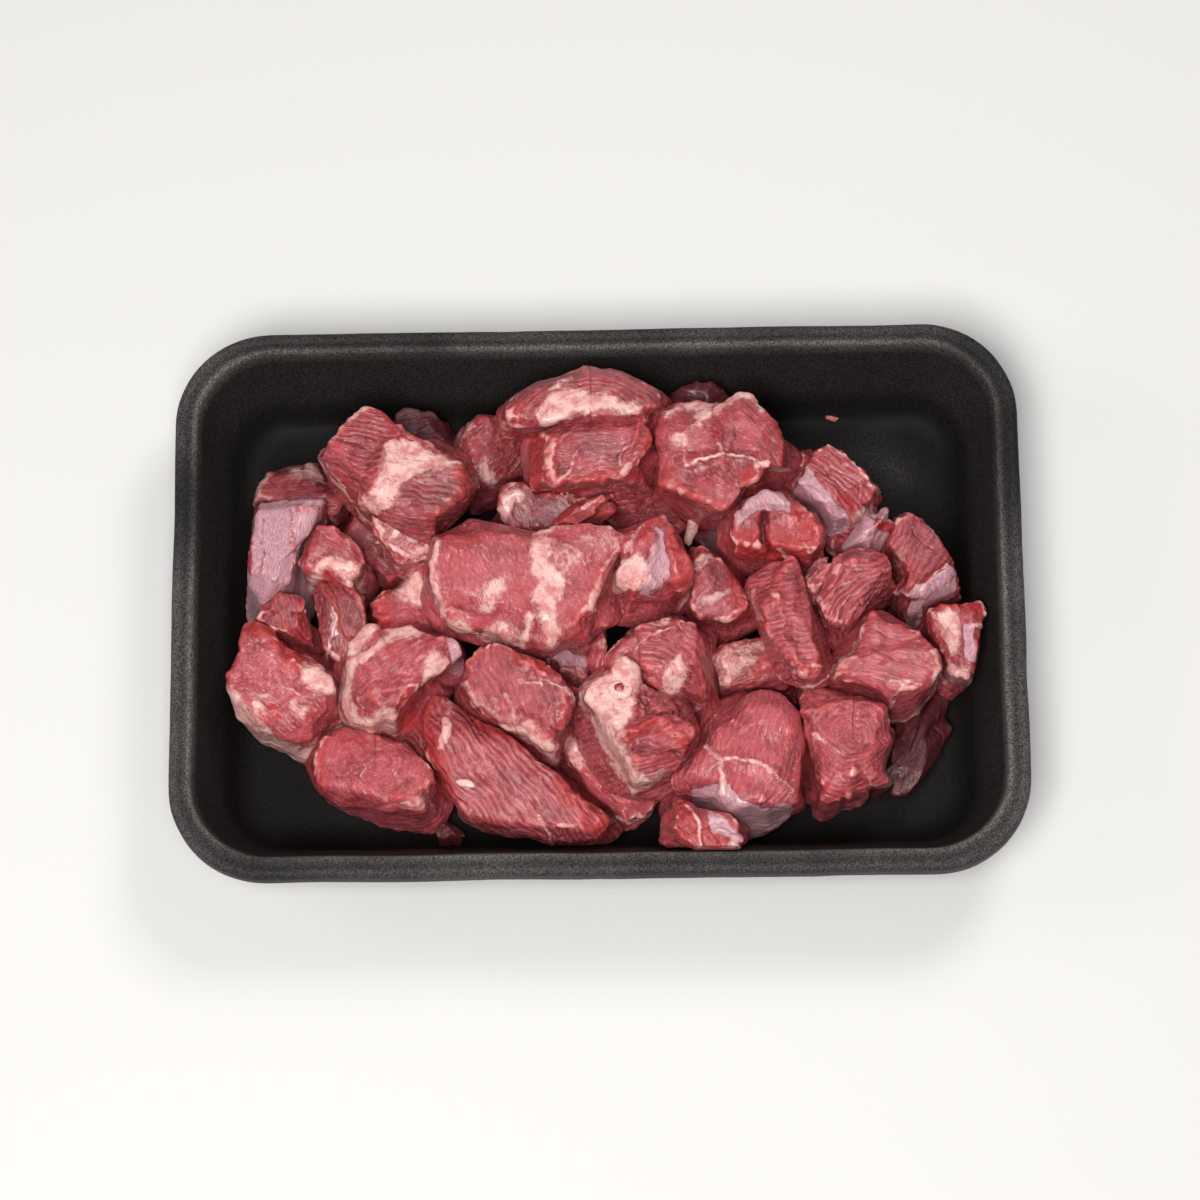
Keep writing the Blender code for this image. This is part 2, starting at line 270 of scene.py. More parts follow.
def make_piece(name, points, faces, finish, slot, stands_for=(), values=None):
    """A mesh object at the origin from points in millimetres and faces of equal length."""
    mesh = bpy.data.meshes.new(name)
    corners = faces.shape[1]
    mesh.vertices.add(len(points))
    mesh.loops.add(faces.size)
    mesh.polygons.add(len(faces))
    mesh.vertices.foreach_set("co", (points * MM).astype(np.float32).ravel())
    mesh.loops.foreach_set("vertex_index", faces.astype(np.int32).ravel())
    mesh.polygons.foreach_set("loop_start", np.arange(0, faces.size, corners, dtype=np.int32))
    mesh.update(calc_edges=True)
    mesh.validate()
    for key, value in (values or {}).items():
        kind = "FLOAT_VECTOR" if value.ndim == 2 else "FLOAT"
        attribute = mesh.attributes.new(key, kind, "POINT")
        attribute.data.foreach_set("vector" if value.ndim == 2 else "value", value.astype(np.float32).ravel())
    mesh.materials.append(finish)
    mesh.shade_smooth()
    made = bpy.data.objects.new(name, mesh)
    bpy.context.scene.collection.objects.link(made)
    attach(made, BODY)
    for node in stands_for:
        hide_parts(node)
    return made


print("every piece rides on the body", BODY)

# %% [markdown]
# ## The foam tray
#
# The tray is pressed from a sheet of polystyrene foam: a flat floor, leaning walls and a rolled
# rim, in one skin 3 mm thick. It could be a box with bevels, but a rim of even section is more
# honestly a profile carried round a rounded rectangle. The floor and the underside are the same
# line shrunk towards the middle, so the whole tray is one closed grid.

# %% Profile of the tray
TRAY_LENGTH, TRAY_WIDTH, TRAY_HEIGHT = 240.0, 160.0, 36.0
FOAM = 3.0
RIM_WIDTH, LIP_DROP = 6.0, 7.4
MOUTH_DROP = 2.2  # below the rim's top, where the wall starts to bend over
WALL_SLOPE, FILLET = 10.0, 7.0
CORNER_RADIUS, CORNER_TIGHTENING = 27.0, 0.8


def arc(start, corner, end, steps):
    """Points on the curve that leaves start towards corner and arrives at end (quadratic)."""
    share = np.linspace(0.0, 1.0, steps + 1)[:, None]
    start, corner, end = np.array((start, corner, end), float)
    return (1 - share) ** 2 * start + 2 * share * (1 - share) * corner + share**2 * end


def tray_profile():
    """(inset from the outer edge, height) from the floor up, over the rim and back underneath."""
    floor_inset = RIM_WIDTH + WALL_SLOPE
    lean = WALL_SLOPE / (TRAY_HEIGHT - FOAM)
    lip, mouth = TRAY_HEIGHT - LIP_DROP, TRAY_HEIGHT - MOUTH_DROP

    def wall(height, thickness=0.0):
        return (RIM_WIDTH + lean * (TRAY_HEIGHT - height) - thickness, height)

    def wall_run(low, high, thickness, steps):
        return np.array([wall(height, thickness) for height in np.linspace(low, high, steps)])

    return np.vstack(
        (
            arc((floor_inset + FILLET, FOAM), (floor_inset, FOAM), wall(FOAM + FILLET), 8),
            wall_run(FOAM + FILLET, mouth, 0.0, 9)[1:-1],
            arc(wall(mouth), (RIM_WIDTH + 0.2, TRAY_HEIGHT + 0.1), (RIM_WIDTH - 1.2, TRAY_HEIGHT), 7),
            (RIM_WIDTH * 0.62, TRAY_HEIGHT - 0.45),
            (RIM_WIDTH * 0.5, TRAY_HEIGHT - 0.5),
            arc((2.5, TRAY_HEIGHT - 0.2), (0.0, TRAY_HEIGHT - 0.1), (0.0, TRAY_HEIGHT - 2.8), 7),
            arc((0.0, lip + 1.6), (0.0, lip), (1.8, lip), 4),
            wall(lip, FOAM),
            wall_run(FOAM + FILLET, lip, FOAM, 6)[::-1][1:-1],
            arc(wall(FILLET + FOAM, FOAM), (floor_inset - FOAM, 0.0), (floor_inset + FILLET, 0.0), 8),
        )
    )


profile = tray_profile()
print("points in the tray's profile:", len(profile))

# %% [markdown]
# The line that the profile follows is a rounded rectangle. A line further in is shorter, and its
# corners are a little tighter, as they are where foam is drawn into a mould.

# %% Carry the profile round the tray
CORNER_STEPS, LONG_STEPS, SHORT_STEPS = 18, 66, 36


def round_the_rim(inset):
    """Plan positions of a closed line at an inset: four arcs with straight runs between them."""
    radius = CORNER_RADIUS - CORNER_TIGHTENING * inset
    angles, middles = [], []
    for quarter, (side_x, side_y) in enumerate(((1, 1), (-1, 1), (-1, -1), (1, -1))):
        angles.append(np.radians(90.0 * (quarter + np.linspace(0, 1, CORNER_STEPS + 1))))
        middle = (side_x * (TRAY_LENGTH / 2 - inset - radius), side_y * (TRAY_WIDTH / 2 - inset - radius))
        middles.append(np.tile(middle, (CORNER_STEPS + 1, 1)))
    corners = [m + radius * np.column_stack((np.cos(a), np.sin(a))) for a, m in zip(angles, middles)]
    runs = []
    for number, corner in enumerate(corners):
        following = corners[(number + 1) % 4]
        steps = LONG_STEPS if number % 2 == 0 else SHORT_STEPS
        share = np.linspace(0, 1, steps + 1)[1:-1, None]
        runs += [corner, corner[-1] * (1 - share) + following[0] * share]
    return np.vstack(runs)


print("points round the rim:", len(round_the_rim(0.0)))

# %% [markdown]
# The profile's points become rings. The floor and the underside are the first and the last ring,
# shrunk to the middle. Two rows of triangles join each pair of neighbouring rings, and a fan
# closes each middle, so that the tray has no open edge.

# %% One closed grid
FLOOR_RINGS, UNDER_RINGS = 44, 8

lines_round = [(round_the_rim(inset), height) for inset, height in profile]
rings = [np.column_stack((line, np.full(len(line), height))) for line, height in lines_round]
floor_rings = [rings[0] * (s, s, 1.0) for s in np.linspace(0.0, 1.0, FLOOR_RINGS + 1)[1:-1]]
under_rings = [rings[-1] * (s, s, 1.0) for s in np.linspace(1.0, 0.0, UNDER_RINGS + 1)[1:-1]]
tray_rings = np.array(floor_rings + rings + under_rings)
levels, turns = tray_rings.shape[:2]
level, turn = np.meshgrid(np.arange(levels - 1), np.arange(turns), indexing="ij")
ahead = (turn + 1) % turns
low, high = level * turns, (level + 1) * turns
tray_faces = np.vstack(
    (
        np.stack((low + turn, high + turn, high + ahead), axis=-1).reshape(-1, 3),
        np.stack((low + turn, high + ahead, low + ahead), axis=-1).reshape(-1, 3),
    )
)
ring = np.arange(turns)
following = (ring + 1) % turns
first_pole, last_ring = levels * turns, (levels - 1) * turns
floor_fan = np.column_stack((np.full(turns, first_pole), ring, following))
under_fan = np.column_stack((np.full(turns, first_pole + 1), last_ring + following, last_ring + ring))
tray_faces = np.vstack((tray_faces, floor_fan, under_fan))
tray_points = np.vstack((tray_rings.reshape(-1, 3), (0, 0, FOAM), (0, 0, 0)))
print("tray grid:", levels, "by", turns)

# %% [markdown]
# A used tray is not perfect: near the back right corner somebody's thumb left two shallow dents
# and a pit, and a crease runs along the foot of the back wall. They are added to the heights of
# the floor as soft bumps, along with the slight waviness of pressed foam.

# %% Dents, creases and waviness
DENTS = (  # middle, radius and height
    ((78.0, 56.0), 6.5, -0.9),
    ((70.0, 50.0), 4.0, 0.35),
    ((88.0, 50.0), 5.0, -0.5),
    ((87.0, 39.0), 1.3, -0.8),
)
CREASES = (
    (((-88.0, 61.5), (-74.0, 63.0), (-62.0, 61.0)), 0.35),
    (((45.0, 62.5), (58.0, 61.0), (80.0, 61.5)), 0.4),
    (((4.0, -65.0), (28.0, -66.0)), 0.35),
)


def distance_to_line(points, path):
    """The shortest distance in the plane from each point to the pieces of an open path."""
    nearest = np.full(len(points), 1e9)
    for start, end in zip(np.array(path[:-1], float), np.array(path[1:], float)):
        run = end - start
        share = np.clip((points - start) @ run / max(run @ run, 1e-9), 0.0, 1.0)
        nearest = np.minimum(nearest, np.linalg.norm(points - start - share[:, None] * run, axis=1))
    return nearest


plan = tray_points[:, :2].copy()
row = np.append(np.repeat(np.arange(levels), turns), (0, levels))
in_the_hollow = row < FLOOR_RINGS + 12
lift = np.zeros(len(tray_points))
for middle, radius, height in DENTS:
    lift += height * np.exp(-(((plan - middle) ** 2).sum(axis=1)) / radius**2)
for path, depth in CREASES:
    lift -= depth * np.exp(-((distance_to_line(plan, path) / 0.8) ** 2))
lift += 0.12 * rough(tray_points, 18.0, 5)
tray_points[:, 2] += np.where(in_the_hollow, lift, 0.0)
sway = rough(tray_points, 26.0, 9) * 0.22 + rough(tray_points, 6.0, 12) * 0.06
tray_points[:, :2] += unit(plan + 1e-6) * (sway * rise(tray_points[:, 2], 2.0, 20.0))[:, None]
print("deepest dent:", round(float(-lift.min()), 2), "mm")

# %% [markdown]
# The foam is painted pale on top of the rim, partly rubbed beads and partly painted highlight, and
# less in its shallow groove, as painted shade. A line of painted highlight runs along the edge inside
# the rim, a little painted sheen lies on the walls, and two spots at the back right are a painted
# reflection. Under the heap the floor is painted darker and redder, as painted shade. Both are
# numbers at the tray's points, and the finish reads them.

# %% Painted highlight, sheen and shade on the foam
# Painted light on the foam: the rim is painted pale, partly rubbed beads and partly painted highlight, with
# less in its groove as painted shade; a painted highlight runs along the lip inside the rim, and painted
# sheen rises up the walls.
RIM_WEAR_AND_SHEEN, GROOVE_SHADE, LIP_HIGHLIGHT, WALL_SHEEN, LEAST_WEAR = 0.46, 0.2, 0.75, 0.13, 0.04
FLOOR_SHEENS = (((78.0, 50.0), 8.0, 0.16), ((87.0, 45.0), 5.0, 0.12))  # middle, radius and strength of the painted reflection
GROOVE_INSET, GROOVE_WIDTH = 3.6, 1.1
HEAP_SHADE_REACH = (104.0, 66.0)  # half its length and half its width

flat_inset = 40.0  # of the floor and the underside, more than any in the profile
level_inset = np.concatenate(
    (np.full(len(floor_rings), flat_inset), profile[:, 0], np.full(len(under_rings), flat_inset))
)
inset = level_inset[np.minimum(row, levels - 1)]
height = tray_points[:, 2]
# A line of painted highlight along the edge inside the rim.
lip_highlight_mask = np.exp(-(((inset - RIM_WIDTH - 0.1) / 0.8) ** 2)) * (height > TRAY_HEIGHT - 3.5)
on_rim = rise(RIM_WIDTH + 0.4 - inset, 0.0, 0.7)
groove = np.exp(-(((inset - GROOVE_INSET) / GROOVE_WIDTH) ** 2))
uneven = 0.75 + 0.5 * rough(tray_points, 30.0, 14, 3)
wear_and_sheen = on_rim * (RIM_WEAR_AND_SHEEN - GROOVE_SHADE * groove) * uneven + LIP_HIGHLIGHT * lip_highlight_mask * uneven + LEAST_WEAR
wear_and_sheen += WALL_SHEEN * (row < FLOOR_RINGS + 19) * rise(height, 5.0, 16.0)
# Painted reflection: two pale spots where the back softbox would reflect off the dents at the back right.
for middle, radius, share in FLOOR_SHEENS:
    wear_and_sheen += share * np.exp(-(((plan - middle) ** 2).sum(axis=1)) / radius**2) * in_the_hollow
# Painted shade: the floor under the heap is darkened to a dark red, which fades out towards the walls.
from_the_heap = np.hypot(*(plan / HEAP_SHADE_REACH).T) + 0.08 * rough(tray_points, 20.0, 15, 2)
heap_shade = rise(1.02 - from_the_heap, 0.0, 0.2) * in_the_hollow
# Counts of points with much painted highlight, sheen and wear, and with much painted shade under the heap.
print("points that are rubbed:", int((wear_and_sheen > 0.2).sum()), "and wet:", int((heap_shade > 0.5).sum()))

# %% [markdown]
# Black polystyrene foam is a skin of crushed beads, each a third of a millimetre across. The
# skin is matt, but every bead has its own small glint. On the rim, and a little on the walls, the
# foam is painted a pale grey: partly rubbed beads, partly painted highlight and sheen. A voronoi
# pattern of that size gives the beads, a bump gives them relief, and a number stored at the
# tray's points says how much pale grey is painted there.

# %% Black polystyrene foam
BEAD = 0.26  # mm
FOAM_BLACK, FOAM_BROWN, FOAM_WEAR_AND_SHEEN = "060404", "0c0909", "86827d"
FOAM_SHADED_RED = "140304"

foam, tree, shader = new_material("black_polystyrene_foam")
place = add_node(tree, "ShaderNodeTexCoord")
beads = add_node(
    tree, "ShaderNodeTexVoronoi", {"Vector": place.outputs["Object"], "Scale": 1 / (BEAD * MM)}, feature="F1"
)
clusters = add_node(
    tree, "ShaderNodeTexNoise",
    {"Vector": place.outputs["Object"], "Scale": 1 / (0.5 * MM), "Detail": 4.0, "Roughness": 0.7},
)
clouds = add_node(
    tree, "ShaderNodeTexNoise", {"Vector": place.outputs["Object"], "Scale": 1 / (14 * MM), "Detail": 3.0}
)
pale_sheen_and_wear = add_node(tree, "ShaderNodeAttribute", attribute_name="pale_sheen_and_wear")
grain = add_node(
    tree, "ShaderNodeMath", {0: clusters.outputs["Fac"], 1: beads.outputs["Color"]}, operation="MULTIPLY"
)
speckle = add_node(
    tree, "ShaderNodeMapRange",
    {"Value": grain.outputs[0], "From Min": 0.1, "From Max": 0.5, "To Min": 0.15, "To Max": 1.0},
)
sheen_and_wear_share = add_node(
    tree, "ShaderNodeMath", {0: speckle.outputs[0], 1: pale_sheen_and_wear.outputs["Fac"]}, operation="MULTIPLY"
)
heap_shade_share = add_node(tree, "ShaderNodeAttribute", attribute_name="heap_shade")
colour = blend(tree, clouds.outputs["Fac"], linear(FOAM_BLACK), linear(FOAM_BROWN))
# The pale grey of the rim, lip and walls: partly rubbed beads, partly painted highlight and sheen.
colour = blend(tree, sheen_and_wear_share.outputs[0], colour, linear(FOAM_WEAR_AND_SHEEN))
# Painted shade under the heap.
colour = blend(tree, heap_shade_share.outputs["Fac"], colour, linear(FOAM_SHADED_RED))
relief = add_node(
    tree, "ShaderNodeBump",
    {"Height": grain.outputs[0], "Strength": 0.55, "Distance": 0.25 * MM},
)
tree.links.new(colour, shader.inputs["Base Color"])
tree.links.new(relief.outputs["Normal"], shader.inputs["Normal"])
shader.inputs["Roughness"].default_value = 0.52
shader.inputs["IOR"].default_value = 1.24  # polystyrene is 1.59, softened by the air in its skin
shader.inputs["Specular IOR Level"].default_value = 0.3

make_piece(
    "foam_tray", tray_points, tray_faces, foam, "black_foam", ("tray",),
    {"pale_sheen_and_wear": np.clip(wear_and_sheen, 0.0, 1.0), "heap_shade": heap_shade},
)
print("tray faces:", len(tray_faces))

# %% [markdown]
# ## The skin of a die
#
# A die is a closed lump, so its surface is one function: for every direction from its middle,
# how far away its skin is. The directions come from a cube whose sides are cut into a fine grid,
# which has no crowded poles as a globe has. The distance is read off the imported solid, so that
# each die keeps its place and form, and is then evened out over about two millimetres, because
# the solid's faces are wider than that. The relief of meat and fat is added to this in the end.

# %% A cube's grid of directions


def cube_shell(cells):
    """Points on a cube from -1 to 1, its quads and its edges. tan spreads the grid evenly."""
    steps = np.arange(cells + 1)
    a, b = np.meshgrid(steps, steps, indexing="ij")
    near, far = np.zeros_like(a), np.full_like(a, cells)
    sides = ((far, a, b), (near, b, a), (b, far, a), (a, near, b), (a, b, far), (b, a, near))
    corners = np.concatenate([np.stack(side, axis=-1).reshape(-1, 3) for side in sides])
    welded, index = np.unique(corners, axis=0, return_inverse=True)
    grid = index.reshape(6, cells + 1, cells + 1)
    cells_of = (grid[:, :-1, :-1], grid[:, 1:, :-1], grid[:, 1:, 1:], grid[:, :-1, 1:])
    quads = np.stack(cells_of, axis=-1).reshape(-1, 4)
    edges = np.concatenate([quads[:, [k, (k + 1) % 4]] for k in range(4)])
    edges = np.unique(np.sort(edges, axis=1), axis=0)
    return np.tan((welded / cells * 2 - 1) * math.pi / 4), quads, edges


FINE, COARSE = 56, 32
shells = {cells: cube_shell(cells) for cells in (FINE, COARSE)}
print("directions of a die:", {cells: len(shell[0]) for cells, shell in shells.items()})

# %% [markdown]
# The distance along a direction is read off the solid's triangles all at once: each triangle's
# three corners are turned into a matrix whose inverse says where in the triangle the direction
# passes. A ray cast for each direction would do the same, but slowly.

# %% Read a solid's skin


def solid_corners(node):
    """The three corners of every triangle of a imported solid, in millimetres."""
    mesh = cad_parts[node].data
    points = np.empty(len(mesh.vertices) * 3)
    mesh.vertices.foreach_get("co", points)
    mesh.calc_loop_triangles()
    triangles = np.empty(len(mesh.loop_triangles) * 3, int)
    mesh.loop_triangles.foreach_get("vertices", triangles)
    return points.reshape(-1, 3)[triangles.reshape(-1, 3)] / MM


def middle_of(corners):
    """The centre of mass: each triangle makes a pyramid with the origin, weighed by its volume."""
    volumes = np.linalg.det(corners)
    return (corners.sum(axis=1) / 4 * volumes[:, None]).sum(axis=0) / volumes.sum()


def own_box(corners, middle):
    """The solid's own length, width and height directions, as rows, and half its size along each."""
    flat = corners.reshape(-1, 3)[:, :2] - middle[:2]
    _, across = np.linalg.eigh(flat.T @ flat)
    long = np.array((*across[:, 1], 0.0))
    axes = np.array((long, np.cross((0, 0, 1.0), long), (0, 0, 1.0)))
    return axes, np.abs((corners.reshape(-1, 3) - middle) @ axes.T).max(axis=0)


def reach(directions, corners):
    """How far a solid goes along each direction from the origin.

    A direction d meets the triangle a, b, c where d = u a + v b + w c with none of u, v, w
    below nought, and the triangle is then 1 / (u + v + w) away.
    """
    inverse = np.linalg.inv(corners.transpose(0, 2, 1)).astype(np.float32)
    shares = directions.astype(np.float32) @ inverse.reshape(-1, 3).T
    shares = shares.reshape(len(directions), len(corners), 3)
    total = shares.sum(axis=2)
    met = (shares.min(axis=2) > -0.0006) & (total > 1e-4)
    return np.where(met, 1 / np.where(met, total, 1.0), 0.0).max(axis=1).astype(float)


def evened(values, edges, rounds):
    """Each point's value drawn towards the mean of its neighbours, several times over."""
    first, second = edges.T
    count = len(values)
    neighbours = np.bincount(first, minlength=count) + np.bincount(second, minlength=count)
    for _ in range(rounds):
        total = np.bincount(first, values[second], count) + np.bincount(second, values[first], count)
        values = 0.25 * values + 0.75 * total / neighbours
    return values


print("reading the skins of", len(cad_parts) - 1, "dice")

# %% [markdown]
# A knife leaves flat sides and crisp edges, which evening out has softened. They are put back:
# the largest flat sides of the solid are found, and the lump is cut by them again, with a few
# small chips at random.

# %% Knife cuts
SIDES = 13  # of the solid's own flat sides, the number that the knife follows
ALIKE, APART = math.cos(math.radians(17)), math.cos(math.radians(26))
CHIPS = 4
KNIFE_SHARPNESS = 60.0
LET_OUT = 1.7  # mm by which the lump grows before it is cut


def flat_sides(corners, middle):
    """Normals and distances of a solid's largest flat sides.

    Triangles whose normals are alike make one side. The side with the most area is taken, and
    then the next among the triangles that are left. Each lies between its mean and its
    furthest point.
    """
    crossed = np.cross(corners[:, 1] - corners[:, 0], corners[:, 2] - corners[:, 0])
    area = np.linalg.norm(crossed, axis=1)
    normals = crossed / area[:, None]
    depths = ((corners.mean(axis=1) - middle) * normals).sum(axis=1)
    alike = normals @ normals.T > ALIKE
    sides, limits = [], []
    for _ in range(SIDES):
        share = alike[(alike @ area).argmax()] * area
        if share.sum() <= 0:
            break
        side = unit(share @ normals)
        furthest = ((corners.reshape(-1, 3) - middle) @ side).max()
        sides.append(side)
        limits.append(0.55 * furthest + 0.45 * (share @ depths) / share.sum())
        area = area * (normals @ side < APART)
    return np.array(sides), np.array(limits)


def cut_flat(directions, distance, corners, middle, rng):
    """Knife cuts: the lump is let out a little, and what lies beyond its flat sides goes.

    The new distance is the power mean of the lump's own and of the distances to the planes. It
    also returns the number of the plane that each direction ends on.
    """
    sides, limits = flat_sides(corners, middle)
    chips = unit(rng.normal(size=(CHIPS, 3)) + 0.5 * BACK)
    chip_limits = (directions @ chips.T * distance[:, None]).max(axis=0) - rng.uniform(0.6, 1.8, CHIPS)
    sides, limits = np.vstack((sides, chips)), np.concatenate((limits, chip_limits))
    steepness = np.clip(directions @ sides.T, 0.0, None) / limits
    total = (steepness**KNIFE_SHARPNESS).sum(axis=1) + (distance + LET_OUT) ** -KNIFE_SHARPNESS
    return total ** (-1 / KNIFE_SHARPNESS), steepness.argmax(axis=1)


slab_corners = solid_corners("centre_slab")
print("flat sides of the wide slab:", len(flat_sides(slab_corners, middle_of(slab_corners))[1]))

# %% [markdown]
# The solids have each die's main form. What the camera sees of a die has a finer outline, with
# nicks and torn corners. It is given as a line of places in the frame, open where a neighbour
# covers the die, and the lump is stretched sideways to it.

# %% Follow an outline
ARMS = 144
LET_OUT_BELOW = 0.12
HEAP_MIDDLE, HEAP_REACH = np.array((603.0, 610.0)), np.array((382.0, 240.0))  # in the frame


def fit_outline(points, middle, outline):
    """Stretches a lump sideways until the camera sees it with the given outline.

    Arms reach out from the lump's middle in the frame. On each, the lump's furthest point is
    compared with where the arm crosses the outline, and the ratio, evened out between
    neighbouring arms, scales every point there. Arms that miss an open outline change nothing.
    The lower part isn't drawn in, because it fills the gap to the neighbours, except at the edge
    of the heap, towards the open tray.
    """
    centre = seen_at(middle[None])[0]
    arms = seen_at(points) - centre
    turn = np.arctan2(arms[:, 1], arms[:, 0]) / math.tau * ARMS % ARMS
    own = np.zeros(ARMS)
    np.maximum.at(own, turn.astype(int), np.hypot(*arms.T))
    angle = (np.arange(ARMS) + 0.5) / ARMS * math.tau
    ways = np.column_stack((np.cos(angle), np.sin(angle)))[:, None]
    corners = np.array(outline, float)
    start, along = corners[:-1] - centre, np.diff(corners, axis=0)
    slant = ways[..., 0] * along[:, 1] - ways[..., 1] * along[:, 0]
    far = (start[:, 0] * along[:, 1] - start[:, 1] * along[:, 0]) / slant
    where = (start[:, 0] * ways[..., 1] - start[:, 1] * ways[..., 0]) / slant
    far = np.where((where >= -0.01) & (where <= 1.01) & (far > 0), far, 0.0).max(axis=1)
    ratio = np.where((far > 0) & (own > 0), np.clip(far / np.maximum(own, 1.0), 0.74, 1.34), 1.0)
    ratio = ratio / 2 + (np.roll(ratio, 1) + np.roll(ratio, -1)) / 4
    share = np.interp(turn, np.arange(ARMS) + 0.5, ratio, period=ARMS)
    offset = points - middle
    near = offset @ BACK
    place = (centre - HEAP_MIDDLE) / HEAP_REACH
    outwards = unit(place / HEAP_REACH)
    open_side = rise(arms @ outwards / np.hypot(*arms.T), 0.1, 0.6) * rise(np.hypot(*place), 0.6, 0.8)
    low = rise(-near / np.abs(near).max(), -0.25, 0.45) * (1.0 - open_side)
    share = np.where(share < 1.0, share + (1.0 - share) * 0.9 * low, share) + LET_OUT_BELOW * low
    depth = near[:, None] * BACK
    return middle + depth + (offset - depth) * share[:, None]


def normals_of(points, quads):
    """Outward normals: the crossed diagonals of the quads round a point, added up."""
    crossed = np.cross(points[quads[:, 2]] - points[quads[:, 0]], points[quads[:, 3]] - points[quads[:, 1]])
    spread = np.repeat(crossed, 4, axis=0)
    flat = quads.ravel()
    return unit(np.column_stack([np.bincount(flat, spread[:, k], len(points)) for k in range(3)]))


print("arms round a die:", ARMS)

# %% [markdown]
# ## What is seen on each die
#
# A butcher's die shows five things: lean, with its grain; fat, which stands a little proud and
# is smooth; silver skin, the thin shiny wrapping of a muscle; raw red cuts, and creases. Each
# mark on a die is a band along a path or a patch within an outline, given by where it is seen in
# the 1200 pixel frame. A point of the skin asks where it is seen and how far inside the mark
# that is. The far side of a die, which the camera doesn't see, gets patches of fat and skin from
# noise instead.

# %% Marks


class Mark(NamedTuple):
    """One mark: what it is, the points it follows, its width if it is a band, and how strong it is."""

    kind: str
    path: tuple
    width: float
    much: float


class Look(NamedTuple):
    """A die's look: the angle of its grain in the frame, its marks, and its own strengths.

    whorl is a point in the frame that the grain curls round. marbling is the amount of fine pale
    flecks, grain the depth of the fibres, tone the lightness of the lean, cells the fineness of
    its grid, outline what the camera sees of the die's edge, and lines how clear its bundles of
    fibres are. The field after outline darkens the whole die: it is painted shadow, for the
    shadow that its neighbours cast on a low die.
    """

    angle: float
    marks: tuple = ()
    whorl: tuple = None
    marbling: float = 0.4
    grain: float = 1.0
    tone: float = 0.0
    cells: int = FINE
    outline: tuple = ()
    # Painted shadow: how much the whole die is darkened, for the shadow its neighbours cast on it.
    painted_shadow: float = 0.0
    lines: float = 0.05


def ring(*outline):
    """A closed outline: it ends where it starts."""
    return (*outline, outline[0])


def band(kind, width, *path, much=1.0):
    """A mark of one width along a path."""
    return Mark(kind, path, width, much)


def patch(kind, *outline, much=1.0):
    """A mark that fills an outline."""
    return Mark(kind, outline, 0.0, much)


def depth_in_patch(points, outline):
    """Distance to a closed outline, above nought inside it.

    A ray to the right from a point inside crosses the outline an odd number of times.
    """
    outline = np.array(outline, float)
    starts, ends = outline, np.roll(outline, -1, axis=0)
    nearest = distance_to_line(points, np.vstack((outline, outline[:1])))
    inside = np.zeros(len(points), bool)
    for (x0, y0), (x1, y1) in zip(starts, ends):
        if y0 == y1:
            continue
        crosses = ((y0 > points[:, 1]) != (y1 > points[:, 1])) & (
            points[:, 0] < (x1 - x0) * (points[:, 1] - y0) / (y1 - y0) + x0
        )
        inside ^= crosses
    return np.where(inside, nearest, -nearest)


print("a look has", len(Look._fields), "fields")

# %% [markdown]
# Fat fades into the lean over two millimetres, while a crease is sharp. A ridge and a cleft are
# bends of the whole surface, so they rise evenly to their middle line like a tent. A mark is
# looked up at a place that is swayed a little, so that no edge is a straight line.

# %% How marks fade and stand out
# A dark mark is painted shade, laid where a neighbour or a fold shades the die.
EDGES = {  # pixels over which a mark fades
    "fat": 8.0, "film": 7.0, "red": 9.0, "crease": 3.0, "painted_shade": 11.0, "ridge": 1.0, "cleft": 1.0
}
LIFTS = {  # mm by which it stands proud
    "fat": 0.45, "film": 0.15, "red": 0.1, "crease": -1.8, "ridge": 1.9, "cleft": -2.6
}
SWAY = 3.4  # pixels


def shown_marks(look, points, normals, seed):
    """How strong each kind of mark is at each point, from 0 to 1, for the side the camera sees."""
    facing = rise(normals @ BACK, 0.02, 0.22)
    warp = np.column_stack([rough(points, 4.2, seed + 7 * k, 3) for k in (1, 2)])
    seen = seen_at(points) + warp * SWAY
    strength = {kind: np.zeros(len(points)) for kind in EDGES}
    for mark in look.marks:
        if mark.width:
            depth = mark.width / 2 - distance_to_line(seen, mark.path)
        else:
            depth = depth_in_patch(seen, mark.path)
        edge = min(EDGES[mark.kind], 1.2 + mark.width / 2.5) if mark.width else EDGES[mark.kind]
        found = rise(depth, -edge * 0.6, edge * 0.6) * mark.much * facing
        if mark.kind in ("ridge", "cleft"):
            found = np.clip(2 * depth / mark.width, 0.0, 1.0) * mark.much * facing
        strength[mark.kind] = np.maximum(strength[mark.kind], found)
    return strength, facing


print("kinds of marks:", list(EDGES))

# %% [markdown]
# ## Grain
#
# Muscle is made of fibres about a tenth of a millimetre thick, gathered in bundles of one to two
# millimetres, and it is the bundles that the eye sees: long ridges where the knife ran along
# them and dots where it cut across. The pattern needs coordinates that lie along and across the
# grain. They are worked out here, warped a little so that no line is straight, and stored at
# the points, so that the finish can use them too.

# %% Fibre coordinates and relief
PIXELS_PER_MM = 3.5


